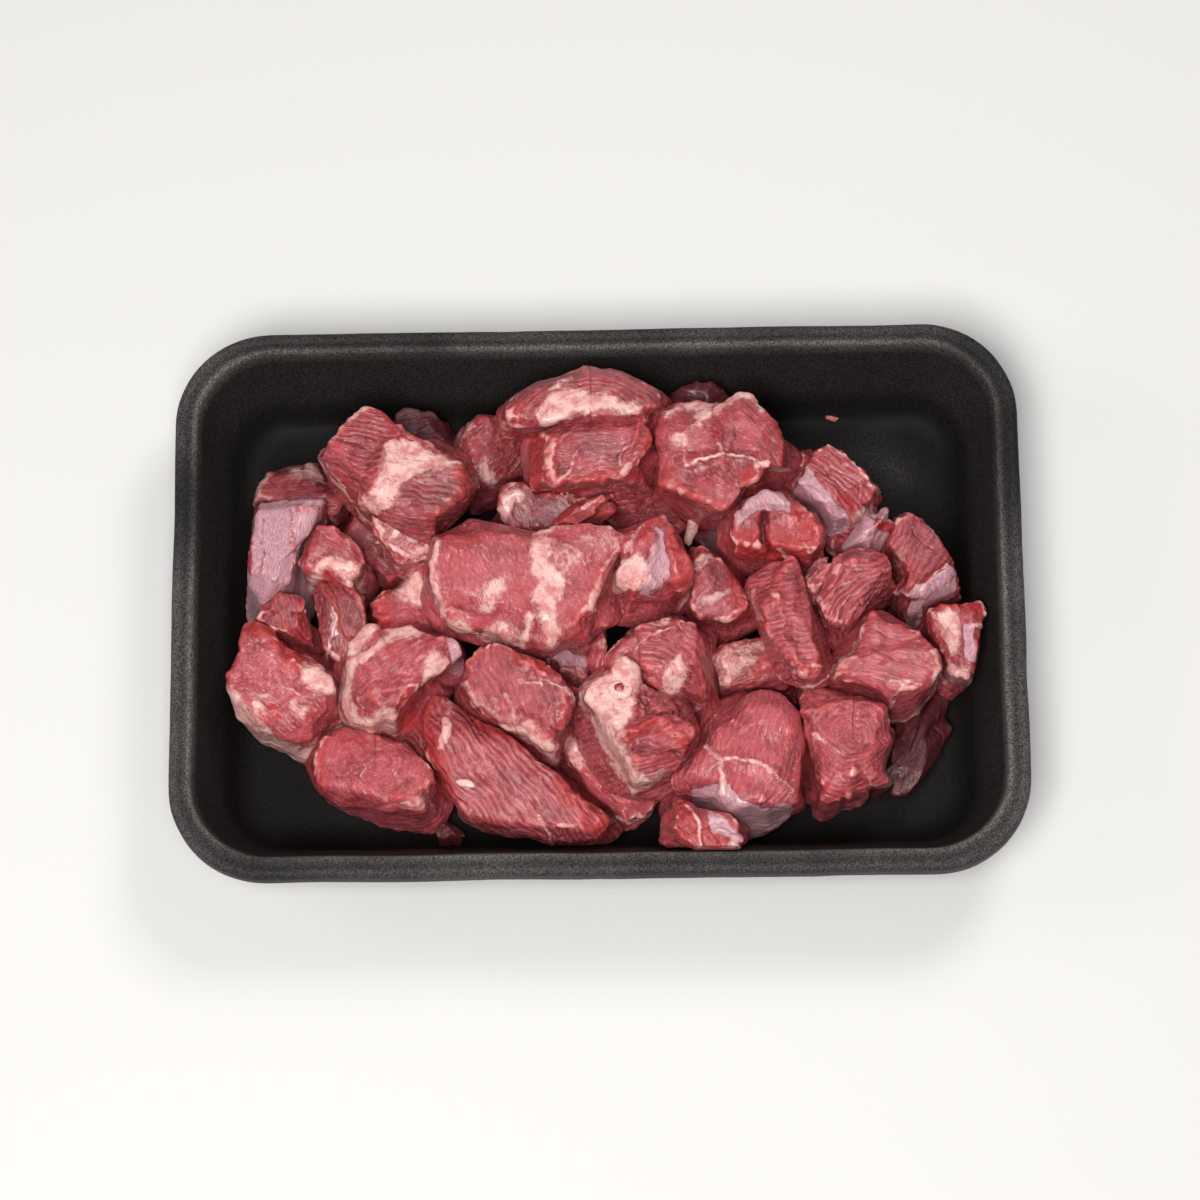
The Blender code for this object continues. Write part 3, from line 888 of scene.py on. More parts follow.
def fibre_coordinates(look, points, seed):
    """Millimetres along the grain, across it and through it."""
    if look.whorl is None:
        turn = math.radians(look.angle)
        along = points @ (math.cos(turn) * RIGHT + math.sin(turn) * UP)
        across = points @ (math.cos(turn) * UP - math.sin(turn) * RIGHT)
    else:
        arm = (seen_at(points) - np.array(look.whorl)) / PIXELS_PER_MM
        across = np.hypot(*arm.T)
        along = np.arctan2(*arm.T) * 12.0
    through = points @ BACK
    warped = np.column_stack((along, across, through))
    sway = np.column_stack([rough(points, 13.0, seed + 11 * k, 2) for k in (3, 4, 5)])
    ripple = np.column_stack([noise(points, 3.2, seed + 11 * k) for k in (6, 7, 8)])
    return warped + sway * (0.5, 1.7, 1.7) + ripple * (0.0, 0.28, 0.28)


def fibre_relief(fibre, seed):
    """Ridges with narrow valleys, from one minus the size of noise that is stretched along the grain."""
    bundles = 1 - 2.2 * np.abs(noise(fibre / (16.0, 2.1, 2.1), 1.0, seed + 90))
    threads = 1 - 2.0 * np.abs(noise(fibre / (8.0, 1.15, 1.15), 1.0, seed + 91))
    return 0.1 * bundles + 0.06 * threads


def relief_of(look, points, fibre, strength, fat, film, ridge, seed):
    """Millimetres by which each point is raised: fibres, swellings, seams between muscles, marks."""
    relief = fibre_relief(fibre, seed) * look.grain * (1 - 0.9 * fat) * (1 - film)
    relief += 0.42 * rough(points, 9.0, seed + 20, 3) * (1 - 0.7 * film)
    relief += 0.55 * np.clip(ridge, 0.0, 1.0) * rough(points, 2.4, seed + 24, 2)
    seams = 1 - np.abs(rough(fibre / (26.0, 8.5, 8.5), 1.0, seed + 21, 2)) * 3.2
    relief -= 0.45 * look.grain * rise(seams, 0.72, 1.0) * (1 - 0.8 * fat) * (1 - 0.6 * film)
    relief += LIFTS["fat"] * strength["fat"] * (1 + 0.6 * rough(points, 3.0, seed + 22, 2))
    relief += LIFTS["film"] * film
    relief += sum(LIFTS[kind] * strength[kind] for kind in ("crease", "ridge", "cleft"))
    relief += LIFTS["red"] * strength["red"] * (1 + 2.5 * rough(points, 2.2, seed + 23, 2))
    return relief


print("fibres are drawn at", PIXELS_PER_MM, "pixels to the millimetre")

# %% [markdown]
# ## One die
#
# Each die could be sculpted by hand, but forty-eight of them ask for one recipe. The lump is read
# and cut, stretched to its outline, and raised by its relief along its normals. Then it is held
# inside the tray, where meat lies against the walls and never passes them.

# %% The bare lump
PLUMP = 0.1  # mm that every die swells by, so that its skin covers the solid
SHADE_HEIGHT = 24.0  # mm, the height below which the lean gets painted shade in the middle of the heap
DEEPEST_SHADE = 0.53  # how dark the painted shade gets there
SKINS = {"lean_meat": (0.0, 0.0), "meat_fat": (0.35, 0.0), "silver_skin": (0.0, 0.85)}  # fat, film


def rounds_for(length, cell):
    """How many rounds of evening reach that many millimetres on a grid of this cell."""
    return int((length / cell) ** 2 / 0.375) + 1


def lump(node, look, rng):
    """A die without its relief: points, quads, edges, rounds per millimetre, ridges and tones.

    A point lies on a ridge where its distance is more than its neighbours'. Each side that the
    knife cut has a tone of its own.
    """
    corners = solid_corners(node)
    middle = middle_of(corners)
    axes, half_size = own_box(corners, middle)
    spread, quads, edges = shells[look.cells]
    directions = unit((spread * half_size) @ axes)
    cell = half_size.mean() * math.pi / 2 / look.cells
    per_mm = rounds_for(1.0, cell)
    distance = evened(reach(directions, corners - middle), edges, per_mm)
    distance, side = cut_flat(directions, distance, corners, middle, rng)
    ridge = np.clip((distance - evened(distance, edges, per_mm)) / 0.3, -1.0, 1.0)
    tones = evened(rng.uniform(-1.0, 1.0, SIDES + CHIPS)[side], edges, rounds_for(0.7, cell))
    points = middle + directions * distance[:, None]
    if look.outline:
        points = fit_outline(points, middle, look.outline)
    return points, quads, edges, per_mm, ridge, tones


def kept_in(points):
    """Holds points above the floor and inside the walls, whose lean makes the tray narrower below."""
    points = points.copy()
    points[:, 2] = np.maximum(points[:, 2], FOAM + 0.2)
    below = np.clip((TRAY_HEIGHT - points[:, 2]) / (TRAY_HEIGHT - FOAM), 0.0, 1.0)
    inset = RIM_WIDTH + WALL_SLOPE * below + 0.4
    for axis, size in ((0, TRAY_LENGTH), (1, TRAY_WIDTH)):
        points[:, axis] = np.clip(points[:, axis], inset - size / 2, size / 2 - inset)
    return points


print("fat and silver skin by slot:", SKINS)

# %% [markdown]
# What lies on the skin is stored at its points for the finish: how much fat, silver skin and
# fresh cut, how much painted shade, how pale. Low down in the middle of the heap the lean gets
# painted shade, for the shadow deep among the dice.

# %% Dress a die


def dress(node, look, seed, finish, slot):
    """The piece that stands for one die, with the numbers that its finish reads."""
    points, quads, edges, per_mm, ridge, tones = lump(node, look, np.random.default_rng(seed))
    normals = normals_of(points, quads)
    strength, facing = shown_marks(look, points, normals, seed)
    hidden = 1 - facing
    own_fat, own_film = SKINS[slot]
    unseen_fat = hidden * rise(rough(points, 16.0, seed + 60, 3), 0.42, 0.6)
    unseen_film = hidden * rise(rough(points, 19.0, seed + 61, 2), 0.45, 0.6) * 0.8
    fat = np.maximum(np.maximum(strength["fat"], unseen_fat), own_fat)
    film = np.maximum(np.maximum(strength["film"], unseen_film), own_film * (1 - strength["fat"]))
    film = film * (1 - strength["red"])

    fibre = fibre_coordinates(look, points, seed)
    relief = relief_of(look, points, fibre, strength, fat, film, ridge, seed)
    points = kept_in(points + normals * (relief + PLUMP)[:, None])
    tops = relief - evened(relief, edges, per_mm)

    # Painted shade: low down in the middle of the heap the lean is darkened, for the shadow deep among the
    # dice.
    inside = rise(0.95 - np.hypot(*((seen_at(points) - HEAP_MIDDLE) / HEAP_REACH).T), 0.0, 0.3)
    low_heap_shade = DEEPEST_SHADE * rise(SHADE_HEIGHT - points[:, 2], 0.0, 14.0) * inside * (1 - 0.7 * fat)
    everywhere = np.ones(len(points))
    # Dark marks, creases and clefts are painted shade as well, darkest in the middle of a cleft.
    shadows = (strength["painted_shade"], low_heap_shade, 0.8 * strength["crease"], 0.8 * strength["cleft"] ** 2)
    values = {
        "edge": np.clip(0.8 * ridge + tops / 0.6 + 0.5 * strength["ridge"] ** 4, -1.0, 1.0),
        "fibre": fibre,
        "fat": fat,
        "film": film,
        "red": strength["red"],
        "painted_shade": np.maximum.reduce((look.painted_shadow * everywhere, *shadows)),
        "marbling": look.marbling * everywhere,
        "grain": look.grain * everywhere,
        "lines": look.lines * everywhere,
        "tone": look.tone + 0.22 * tones,
    }
    return make_piece("skin_" + node, points, quads, finish, slot, (node,), values)


print("finest grid of a die:", len(shells[FINE][1]) * 2, "triangles")

# %% [markdown]
# ## The finish of raw meat
#
# Light goes one to three millimetres into raw meat, red light furthest, which is what makes it
# look moist and alive, so the shader scatters light under the surface. Over that lies a thin
# film of water, a clear coat. The colour is lean in two reds, mixed by soft clouds, with pale
# streaks along the fibres, and over it the marks: fat is cream pink, silver skin lavender, a
# fresh cut bright red. Every size below is in millimetres.

# %% Colours and helpers of the finish
LEAN_DEEP, LEAN_PALE = "85272f", "b64b54"
LEAN_LINE, LEAN_VALLEY, FLECK = "cf8683", "611a20", "dfa39d"
# EDGE_RED and EDGE_PALE on convex edges are partly the pale membrane of a cut edge and partly painted
# highlight; EDGE_RED is also the lean in wisps through fat.
EDGE_RED, EDGE_PALE, HOLLOW_SHADE = "c04644", "e2aaa4", "5c161b"
FAT_CREAM, FAT_PINK = "eab9b1", "cf8582"
SKIN_LAVENDER, SKIN_PALE = "aa7885", "dcb3b6"
FRESH_CUT, FRESH_DEEP = "bb3635", "98262a"
# The dark red that painted shade darkens the meat towards.
SHADOW_RED = "3a1216"
BUNDLE = 1.75  # mm between two bundles of fibres


def stretched(tree, vector, scale, detail=3.0, roughness=0.6):
    """Noise whose pattern is scaled by three different amounts."""
    placed = add_node(tree, "ShaderNodeMapping", {"Vector": vector, "Scale": scale})
    made = add_node(
        tree, "ShaderNodeTexNoise",
        {"Vector": placed.outputs["Vector"], "Scale": 1.0, "Detail": detail, "Roughness": roughness},
    )
    return made.outputs["Fac"]


def every_way(size):
    """The scale of a pattern on Object coordinates, the same every way, from its size in millimetres."""
    return (1 / (size * MM),) * 3


def fibrous(length, width):
    """The scale of a pattern on fibre coordinates: so long along the fibres, so wide across them."""
    return (1 / length, 1 / width, 1 / width)


def ramped(tree, value, start, end, low=0.0, high=1.0):
    """low where the value is at start, high at end, and a smooth step between."""
    made = add_node(
        tree, "ShaderNodeMapRange",
        {"Value": value, "From Min": start, "From Max": end, "To Min": low, "To Max": high},
        interpolation_type="SMOOTHSTEP",
    )
    return made.outputs[0]


def maths(tree, operation, first, second):
    """One sum, product or other operation on two values."""
    return add_node(tree, "ShaderNodeMath", {0: first, 1: second}, operation=operation).outputs[0]


def centred(tree, noise_value):
    """Noise moved down by a half, so that it lies evenly round nought."""
    return maths(tree, "SUBTRACT", noise_value, 0.5)


print("bundles of fibres are", BUNDLE, "mm apart")

# %% [markdown]
# All patterns are noise at the real sizes of meat. Those of the lean are stretched along the
# fibres, and a wave whose bands lie across the grain gives the bundles. The patterns are made
# once, because colour and relief both read them.

# %% Patterns


def meat_patterns(tree, fibre, place):
    """Noise by name, on fibre coordinates in millimetres or on the place in the scene."""
    turns = math.tau / 20 / BUNDLE  # a band of Blender's wave is tau / 20 wide at scale 1
    wave = {"Vector": fibre, "Scale": turns, "Distortion": 4.4, "Detail": 4.0, "Detail Scale": 0.8}
    bundles = add_node(tree, "ShaderNodeTexWave", wave, bands_direction="Y")
    return {
        "bundles": bundles.outputs["Fac"],
        "streaks": stretched(tree, fibre, fibrous(9.0, 1.2), 4.0, 0.7),
        "threads": stretched(tree, fibre, fibrous(3.2, 0.42), 2.0),
        "flecks": stretched(tree, fibre, fibrous(1.8, 0.7), 3.0, 0.7),
        "wisps": stretched(tree, fibre, fibrous(7.0, 1.3), 4.0, 0.7),
        "clouds": stretched(tree, place, every_way(7.0), 5.0, 0.7),
        "breakup": stretched(tree, place, every_way(1.4), 4.0, 0.7),
        "patches": stretched(tree, place, every_way(10.0), 2.0),
        "fat_clouds": stretched(tree, place, every_way(4.0), 4.0, 0.65),
    }


# Each row lays one colour over the lean: the pattern, where it starts and is full, how strong it
# is then, and the number stored on the die that it is multiplied by.
LEAN_LAYERS = (
    (LEAN_LINE, "streaks", 0.57, 0.74, 0.3, "grain"),
    (LEAN_VALLEY, "streaks", 0.45, 0.3, 0.38, "grain"),
    (LEAN_LINE, "threads", 0.57, 0.72, 0.38, "grain"),
    (LEAN_VALLEY, "threads", 0.44, 0.32, 0.4, "grain"),
    (LEAN_LINE, "bundles", 0.72, 1.0, 0.45, "lines"),
    (LEAN_VALLEY, "bundles", 0.28, 0.0, 0.85, "lines"),
    (FLECK, "flecks", 0.52, 0.7, 1.0, "marbling"),
)
print("layers of the lean:", len(LEAN_LAYERS))

# %% [markdown]
# Lean is two reds in clouds, under layers of pale lines and dark valleys. A fresh cut is bright
# red. The edges of the dice are painted a lighter red that is pale in places, partly the thin pale
# membrane of a cut edge and partly painted highlight, and hollows get painted shade. Silver skin
# and fat lie over it all, and their edges are torn by the finest noise.

# %% Colour of the lean


def lean_colour(tree, value, pattern):
    """The lean with its fibres, fresh cuts, edges and hollows."""
    share = maths(tree, "ADD", ramped(tree, pattern["clouds"], 0.36, 0.64, 0.05, 0.95), value["tone"])
    lean = blend(tree, share, linear(LEAN_DEEP), linear(LEAN_PALE), clamp_factor=True)
    for colour, name, start, end, most, stored in LEAN_LAYERS:
        share = maths(tree, "MULTIPLY", ramped(tree, pattern[name], start, end, 0.0, most), value[stored])
        lean = blend(tree, share, lean, linear(colour))
    cut = blend(tree, ramped(tree, pattern["breakup"], 0.38, 0.62), linear(FRESH_CUT), linear(FRESH_DEEP))
    lean = blend(tree, maths(tree, "MULTIPLY", value["red"], 0.8), lean, cut)
    # Convex edges painted a lighter red, and pale in places: partly membrane, partly painted highlight.
    lean = blend(tree, ramped(tree, value["edge"], 0.15, 0.8, 0.0, 0.6), lean, linear(EDGE_RED))
    in_places = ramped(tree, pattern["patches"], 0.48, 0.6, 0.0, 0.8)
    share = maths(tree, "MULTIPLY", ramped(tree, value["edge"], 0.5, 0.95), in_places)
    lean = blend(tree, share, lean, linear(EDGE_PALE))
    # Painted shade in the hollows of the die.
    return blend(tree, ramped(tree, value["edge"], -0.2, -1.0, 0.0, 0.5), lean, linear(HOLLOW_SHADE))


def skin_layer(tree, value, pattern):
    """The colour of silver skin and the share of the lean that it covers."""
    torn = maths(tree, "MULTIPLY", centred(tree, pattern["breakup"]), 0.5)
    share = ramped(tree, maths(tree, "ADD", value["film"], torn), 0.3, 0.7, 0.0, 0.88)
    in_threads = ramped(tree, pattern["threads"], 0.25, 0.85)
    return blend(tree, in_threads, linear(SKIN_LAVENDER), linear(SKIN_PALE)), share


def fat_layer(tree, value, pattern):
    """The colour of fat and the share that it covers. Wisps of lean run through it."""
    torn = maths(tree, "ADD", centred(tree, pattern["breakup"]), centred(tree, pattern["wisps"]))
    edge = maths(tree, "ADD", value["fat"], maths(tree, "MULTIPLY", torn, 1.6))
    colour = blend(tree, ramped(tree, pattern["fat_clouds"], 0.42, 0.66), linear(FAT_CREAM), linear(FAT_PINK))
    colour = blend(tree, ramped(tree, pattern["wisps"], 0.52, 0.68, 0.0, 0.35), colour, linear(EDGE_RED))
    return colour, ramped(tree, edge, 0.12, 1.0)


print("parts of the colour:", [part.__name__ for part in (lean_colour, skin_layer, fat_layer)])

# %% [markdown]
# The same patterns raise the surface a little, least where fat or silver skin covers the fibres.
# The water on it has relief of its own, so that its highlights break up into small glints.

# %% The wet finish
FIBRE_HEIGHTS = {"streaks": 0.8, "threads": 0.5, "breakup": 0.35}


def fine_height(tree, value, pattern, fat_share, skin_share):
    """The height for the bumps: the patterns added up, times the share that is bare lean."""
    bundles = maths(tree, "MULTIPLY", pattern["bundles"], 1.2)
    height = maths(tree, "MULTIPLY", bundles, value["lines"])
    for name, much in FIBRE_HEIGHTS.items():
        height = maths(tree, "ADD", height, maths(tree, "MULTIPLY", pattern[name], much))
    by_fat, by_skin = maths(tree, "MULTIPLY", fat_share, 0.75), maths(tree, "MULTIPLY", skin_share, 0.95)
    bare = maths(tree, "SUBTRACT", 1.0, maths(tree, "MAXIMUM", by_fat, by_skin))
    return maths(tree, "MULTIPLY", height, bare)


def raw_meat(name, roughness, coat):
    """The finish of a die, from the numbers that are stored at its points."""
    made, tree, shader = new_material(name)
    stored = {
        key: add_node(tree, "ShaderNodeAttribute", attribute_name=key)
        for key in ("fibre", "fat", "film", "red", "painted_shade", "marbling", "tone", "edge", "grain", "lines")
    }
    value = {key: node.outputs["Fac"] for key, node in stored.items()}
    place = add_node(tree, "ShaderNodeTexCoord").outputs["Object"]
    pattern = meat_patterns(tree, stored["fibre"].outputs["Vector"], place)

    skin_colour, skin_share = skin_layer(tree, value, pattern)
    fat_colour, fat_share = fat_layer(tree, value, pattern)
    meat = blend(tree, skin_share, lean_colour(tree, value, pattern), skin_colour)
    meat = blend(tree, fat_share, meat, fat_colour)
    # Painted shade: dark marks, creases, clefts, the low middle of the heap and shaded dice are darkened
    # towards a dark red.
    meat = blend(tree, maths(tree, "MULTIPLY", value["painted_shade"], 0.85), meat, linear(SHADOW_RED))
    tree.links.new(meat, shader.inputs["Base Color"])

    height = fine_height(tree, value, pattern, fat_share, skin_share)
    for socket, strength, depth in (("Normal", 0.9, 0.5), ("Coat Normal", 0.85, 0.42)):
        relief = {"Height": height, "Strength": strength, "Distance": depth * MM}
        tree.links.new(add_node(tree, "ShaderNodeBump", relief).outputs["Normal"], shader.inputs[socket])
    settings = {
        "Roughness": roughness,
        "IOR": 1.38,  # flesh is mostly water
        "Subsurface Weight": 0.12,
        "Subsurface Radius": (1.0, 0.25, 0.18),  # red goes furthest
        "Subsurface Scale": 0.8 * MM,
        "Coat Weight": coat,
        "Coat Roughness": 0.11,
        "Coat IOR": 1.33,  # water
    }
    for socket, setting in settings.items():
        shader.inputs[socket].default_value = setting
    return made


FINISHES = {
    "lean_meat": raw_meat("raw_lean_meat", 0.42, 0.85),
    "meat_fat": raw_meat("raw_meat_fat", 0.45, 0.7),
    "silver_skin": raw_meat("silver_skin", 0.34, 0.6),
}
print("finishes:", list(FINISHES))

# %% [markdown]
# ## The left end of the heap
#
# Here lie the slab with a wide band of fat, a strip wrapped in silver skin, the lump with a cap
# of fat, and the two dice with thick fat rims at the front.

# %% Left end
LEFT_END = {
    "back_left_low": Look(20, (
        band("fat", 7, (396, 417), (405, 412), (429, 414), (438, 419), much=0.75),
        band("red", 7, (405, 410), (416, 414)),
    ), tone=-0.35, cells=COARSE, outline=(
        (394, 425), (397, 415), (405, 408), (419, 412), (435, 413), (444, 425), (452, 442), (450, 458)
    ), painted_shadow=1.0),
    "left_back": Look(10, (
        band("fat", 11, (293, 471), (301, 474), much=0.8),
        band("fat", 12, (310, 471), (315, 481)),
        band("fat", 5, (255, 503), (259, 486), (271, 475), much=0.7),
    ), tone=-0.2, cells=COARSE, outline=(
        (257, 524), (253, 502), (260, 484), (272, 473), (292, 466), (316, 465), (330, 474), (338, 490)
    ), painted_shadow=0.45),
    "fat_band_slab": Look(-12, (
        band("ridge", 22, (399, 436), (386, 450), (375, 478), (366, 500)),
        band("ridge", 20, (420, 478), (436, 470), (460, 474), much=0.6),
        patch("fat", (389, 446), (405, 440), (416, 443), (427, 452), (445, 460), (458, 468), (445, 469),
              (432, 470), (418, 476), (405, 482), (399, 494), (390, 507), (378, 512), (366, 512),
              (366, 500), (376, 479), (382, 461)),
        band("fat", 2.5, (318, 454), (330, 470), (345, 492), (358, 509), (371, 528), much=0.8),
        band("fat", 3, (366, 408), (347, 420), (338, 434), (318, 453), much=0.6),
        band("red", 12, (462, 486), (468, 500)),
        band("red", 7, (370, 407), (387, 419), (400, 439)),
        band("red", 9, (338, 478), (352, 494), (364, 506), much=0.7),
        band("painted_shade", 26, (425, 505), (452, 490), much=0.35),
    ), marbling=0.45, tone=-0.25, outline=ring(
        (366, 407), (381, 410), (397, 424), (414, 438), (424, 451), (441, 456), (456, 463), (466, 472),
        (475, 486), (470, 500), (458, 512), (440, 522), (436, 545), (415, 545), (390, 535), (371, 527),
        (354, 507), (336, 487), (317, 457), (333, 438), (349, 418)
    ), lines=0.3),
    "flap_nub": Look(60, (
        band("red", 6, (371, 514), (376, 533), (387, 549), (402, 558)),
        band("red", 9, (385, 507), (400, 496), (417, 500)),
        band("fat", 5, (374, 518), (384, 538), (397, 549), (408, 556)),
        # Fat, and partly painted highlight where the fat catches the light.
        band("fat", 9, (396, 532), (407, 514)),
        band("fat", 8, (412, 556), (428, 548)),
        band("film", 14, (411, 520), (415, 536)),
        band("painted_shade", 8, (412, 520), (415, 528), much=0.35),
    ), outline=ring(
        (371, 514), (385, 503), (400, 495), (412, 495), (421, 505), (424, 520), (424, 535), (432, 549),
        (424, 566), (412, 562), (396, 556), (382, 546), (373, 530)
    )),
    "dark_under_left": Look(-35, (), tone=-0.35, cells=COARSE),
    "silver_strip": Look(80, (
        # Painted highlight: the thin pale line along the strip, drawn as a band of fat.
        band("fat", 2.5, (284, 503), (291, 515), (293, 545), (291, 583), much=0.8),
        band("fat", 2, (262, 520), (266, 545), (262, 575), much=0.5),
        band("red", 7, (329, 500), (323, 520)),
        band("red", 3, (256, 505), (252, 540), (251, 572), much=0.7),
        band("fat", 8, (300, 507), (320, 508), much=0.5),
    ), grain=0.6, outline=ring(
        (255, 512), (262, 503), (290, 501), (326, 499), (330, 512), (318, 528), (310, 548), (308, 565),
        (300, 582), (285, 600), (270, 615), (253, 622), (248, 600), (249, 575), (252, 545)
    )),
    "fat_front_lump": Look(-35, (
        patch("fat", (321, 562), (329, 556), (340, 559), (353, 564), (362, 570), (366, 580), (364, 591),
              (359, 594), (349, 586), (340, 575), (330, 568), (327, 573), (321, 583), (311, 594),
              (306, 595), (305, 586), (308, 576), (314, 568)),
        band("red", 10, (328, 577), (334, 593), (338, 608)),
    ), tone=0.1, outline=(
        (300, 562), (308, 540), (320, 526), (335, 527), (352, 538), (361, 552), (367, 578), (362, 598)
    )),
    "left_lean_top": Look(-68, (
        band("red", 5, (281, 618), (292, 636)),
        band("red", 8, (298, 600), (305, 640), much=0.5),
    ), marbling=0.2, tone=-0.05, outline=(
        (250, 626), (264, 608), (280, 590), (292, 584), (303, 600), (308, 625), (307, 650), (298, 664)
    ), lines=0.3),
    "left_front": Look(-35, (
        band("ridge", 22, (246, 690), (262, 720), (300, 738), (335, 716), much=0.8),
        band("ridge", 16, (258, 628), (282, 652), (304, 672), much=0.7),
        band("red", 14, (247, 628), (262, 631), (280, 650), (302, 668)),
        patch("fat", (256, 697), (272, 694), (274, 700), (258, 702)),
        band("fat", 6, (258, 707), (264, 710)),
        band("red", 9, (268, 708), (276, 713)),
        patch("fat", (288, 704), (296, 700), (300, 706), (308, 710), (301, 716), (292, 711)),
        patch("fat", (228, 684), (233, 686), (244, 699), (257, 713), (273, 729), (289, 739), (303, 745),
              (322, 734), (338, 722), (346, 730), (326, 750), (309, 760), (290, 765), (272, 760),
              (254, 745), (236, 720), (222, 695)),
        patch("fat", (304, 662), (319, 664), (332, 675), (338, 681), (335, 695), (324, 692), (309, 686),
              (300, 681)),
        band("fat", 2, (272, 686), (290, 690), (300, 697), much=0.7),
        band("film", 30, (250, 665), (275, 685), much=0.35),
    ), marbling=0.6, tone=0.15, outline=ring(
        (243, 628), (250, 622), (262, 622), (280, 645), (300, 662), (315, 663), (332, 675), (341, 690),
        (341, 712), (334, 730), (318, 750), (300, 757), (284, 754), (268, 744), (255, 738), (243, 722),
        (235, 705), (226, 685), (232, 668), (240, 650)
    )),
    "tendon_lean": Look(-75, (
        band("fat", 3, (331, 606), (336, 627), (332, 644), (327, 659), (324, 668)),
        band("film", 9, (331, 614), (338, 632), much=0.8),
        band("red", 6, (333, 594), (340, 625), (350, 641)),
    ), tone=-0.6, painted_shadow=0.2),
    "fat_rimmed": Look(30, (
        band("cleft", 9, (420, 688), (440, 684), (456, 690), much=0.7),
        band("ridge", 18, (362, 700), (380, 690), (412, 684), much=0.7),
        band("fat", 12, (352, 652), (362, 640), (372, 627)),
        band("fat", 11, (414, 632), (392, 637), (376, 648), (362, 660), (351, 670)),
        band("fat", 14, (350, 668), (348, 685), (347, 700), (352, 718), (364, 730)),
        patch("fat", (363, 700), (360, 719), (379, 711), (398, 708), (396, 737), (388, 728), (376, 733),
              (364, 740)),
        band("red", 9, (355, 703), (362, 712)),
        patch("fat", (419, 672), (426, 657), (434, 653), (443, 656), (447, 662), (440, 672), (427, 681),
              (418, 680)),
        band("film", 15, (452, 645), (457, 668)),
        band("fat", 8, (448, 640), (460, 655), much=0.5),
        band("red", 8, (411, 686), (407, 698), (411, 716)),
        band("red", 12, (398, 719), (420, 730)),
        band("red", 10, (385, 652), (400, 660), much=0.5),
    ), tone=0.25, outline=ring(
        (349, 650), (358, 634), (373, 622), (380, 632), (410, 627), (432, 636), (455, 640), (462, 655),
        (456, 674), (437, 678), (424, 686), (420, 702), (405, 718), (396, 739), (383, 735), (366, 739),
        (352, 728), (343, 708), (344, 694), (350, 680), (346, 665)
    )),
    "fat_ridge": Look(-80, (
        patch("fat", (397, 591), (408, 576), (420, 566), (426, 586), (428, 608), (413, 608), (397, 600)),
        band("red", 7, (426, 566), (432, 600), (437, 630)),
        band("fat", 3, (427, 608), (434, 634)),
        band("red", 17, (380, 598), (385, 622)),
    ), outline=(
        (376, 624), (370, 603), (388, 589), (397, 590), (410, 570), (424, 561), (434, 554)
    )),
    "lower_left_lean": Look(60, (
        band("ridge", 24, (350, 742), (352, 775), (380, 800), (432, 812), much=0.5),
        band("red", 14, (322, 747), (316, 770), (323, 797), much=0.7),
        band("fat", 2, (365, 764), (359, 782), (365, 792), much=0.8),
        band("fat", 2, (394, 773), (402, 784), much=0.8),
        band("fat", 2.5, (424, 778), (429, 800), (433, 812), much=0.8),
        band("fat", 8, (404, 806), (424, 800), much=0.45),
        band("red", 8, (340, 738), (365, 740), much=0.7),
    ), whorl=(375, 770), marbling=0.3, tone=0.1, outline=ring(
        (313, 748), (322, 738), (345, 728), (380, 736), (405, 744), (420, 757), (434, 770), (440, 790),
        (441, 806), (437, 822), (425, 826), (400, 831), (378, 825), (352, 816), (328, 804), (315, 786),
        (311, 766)
    )),
    "under_scrap": Look(0, (), cells=COARSE, painted_shadow=1.0),
}


def dress_dice(looks):
    """Dresses each die of a table, with a seed from its place in the whole heap."""
    for node, look in looks.items():
        slot = SLOTS[node]
        dressed[node] = dress(node, look, 100 * (len(dressed) + 1), FINISHES[slot], slot)
    print("dressed", len(looks), "dice,", sum(len(dressed[n].data.polygons) for n in looks) * 2, "triangles")


SLOTS = dict.fromkeys((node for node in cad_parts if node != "tray"), "lean_meat")
SLOTS.update(dict.fromkeys(("flap_nub", "fat_flap"), "meat_fat"))
SLOTS.update(dict.fromkeys(("silver_strip", "lavender_side"), "silver_skin"))
dressed = {}
dress_dice(LEFT_END)

# %% [markdown]
# ## The middle of the heap
#
# The highest dice lie here: the roll with its smooth fat at the back, the wide slab with a
# wandering band of fat, and at the front the long wedge that shows the grain best.

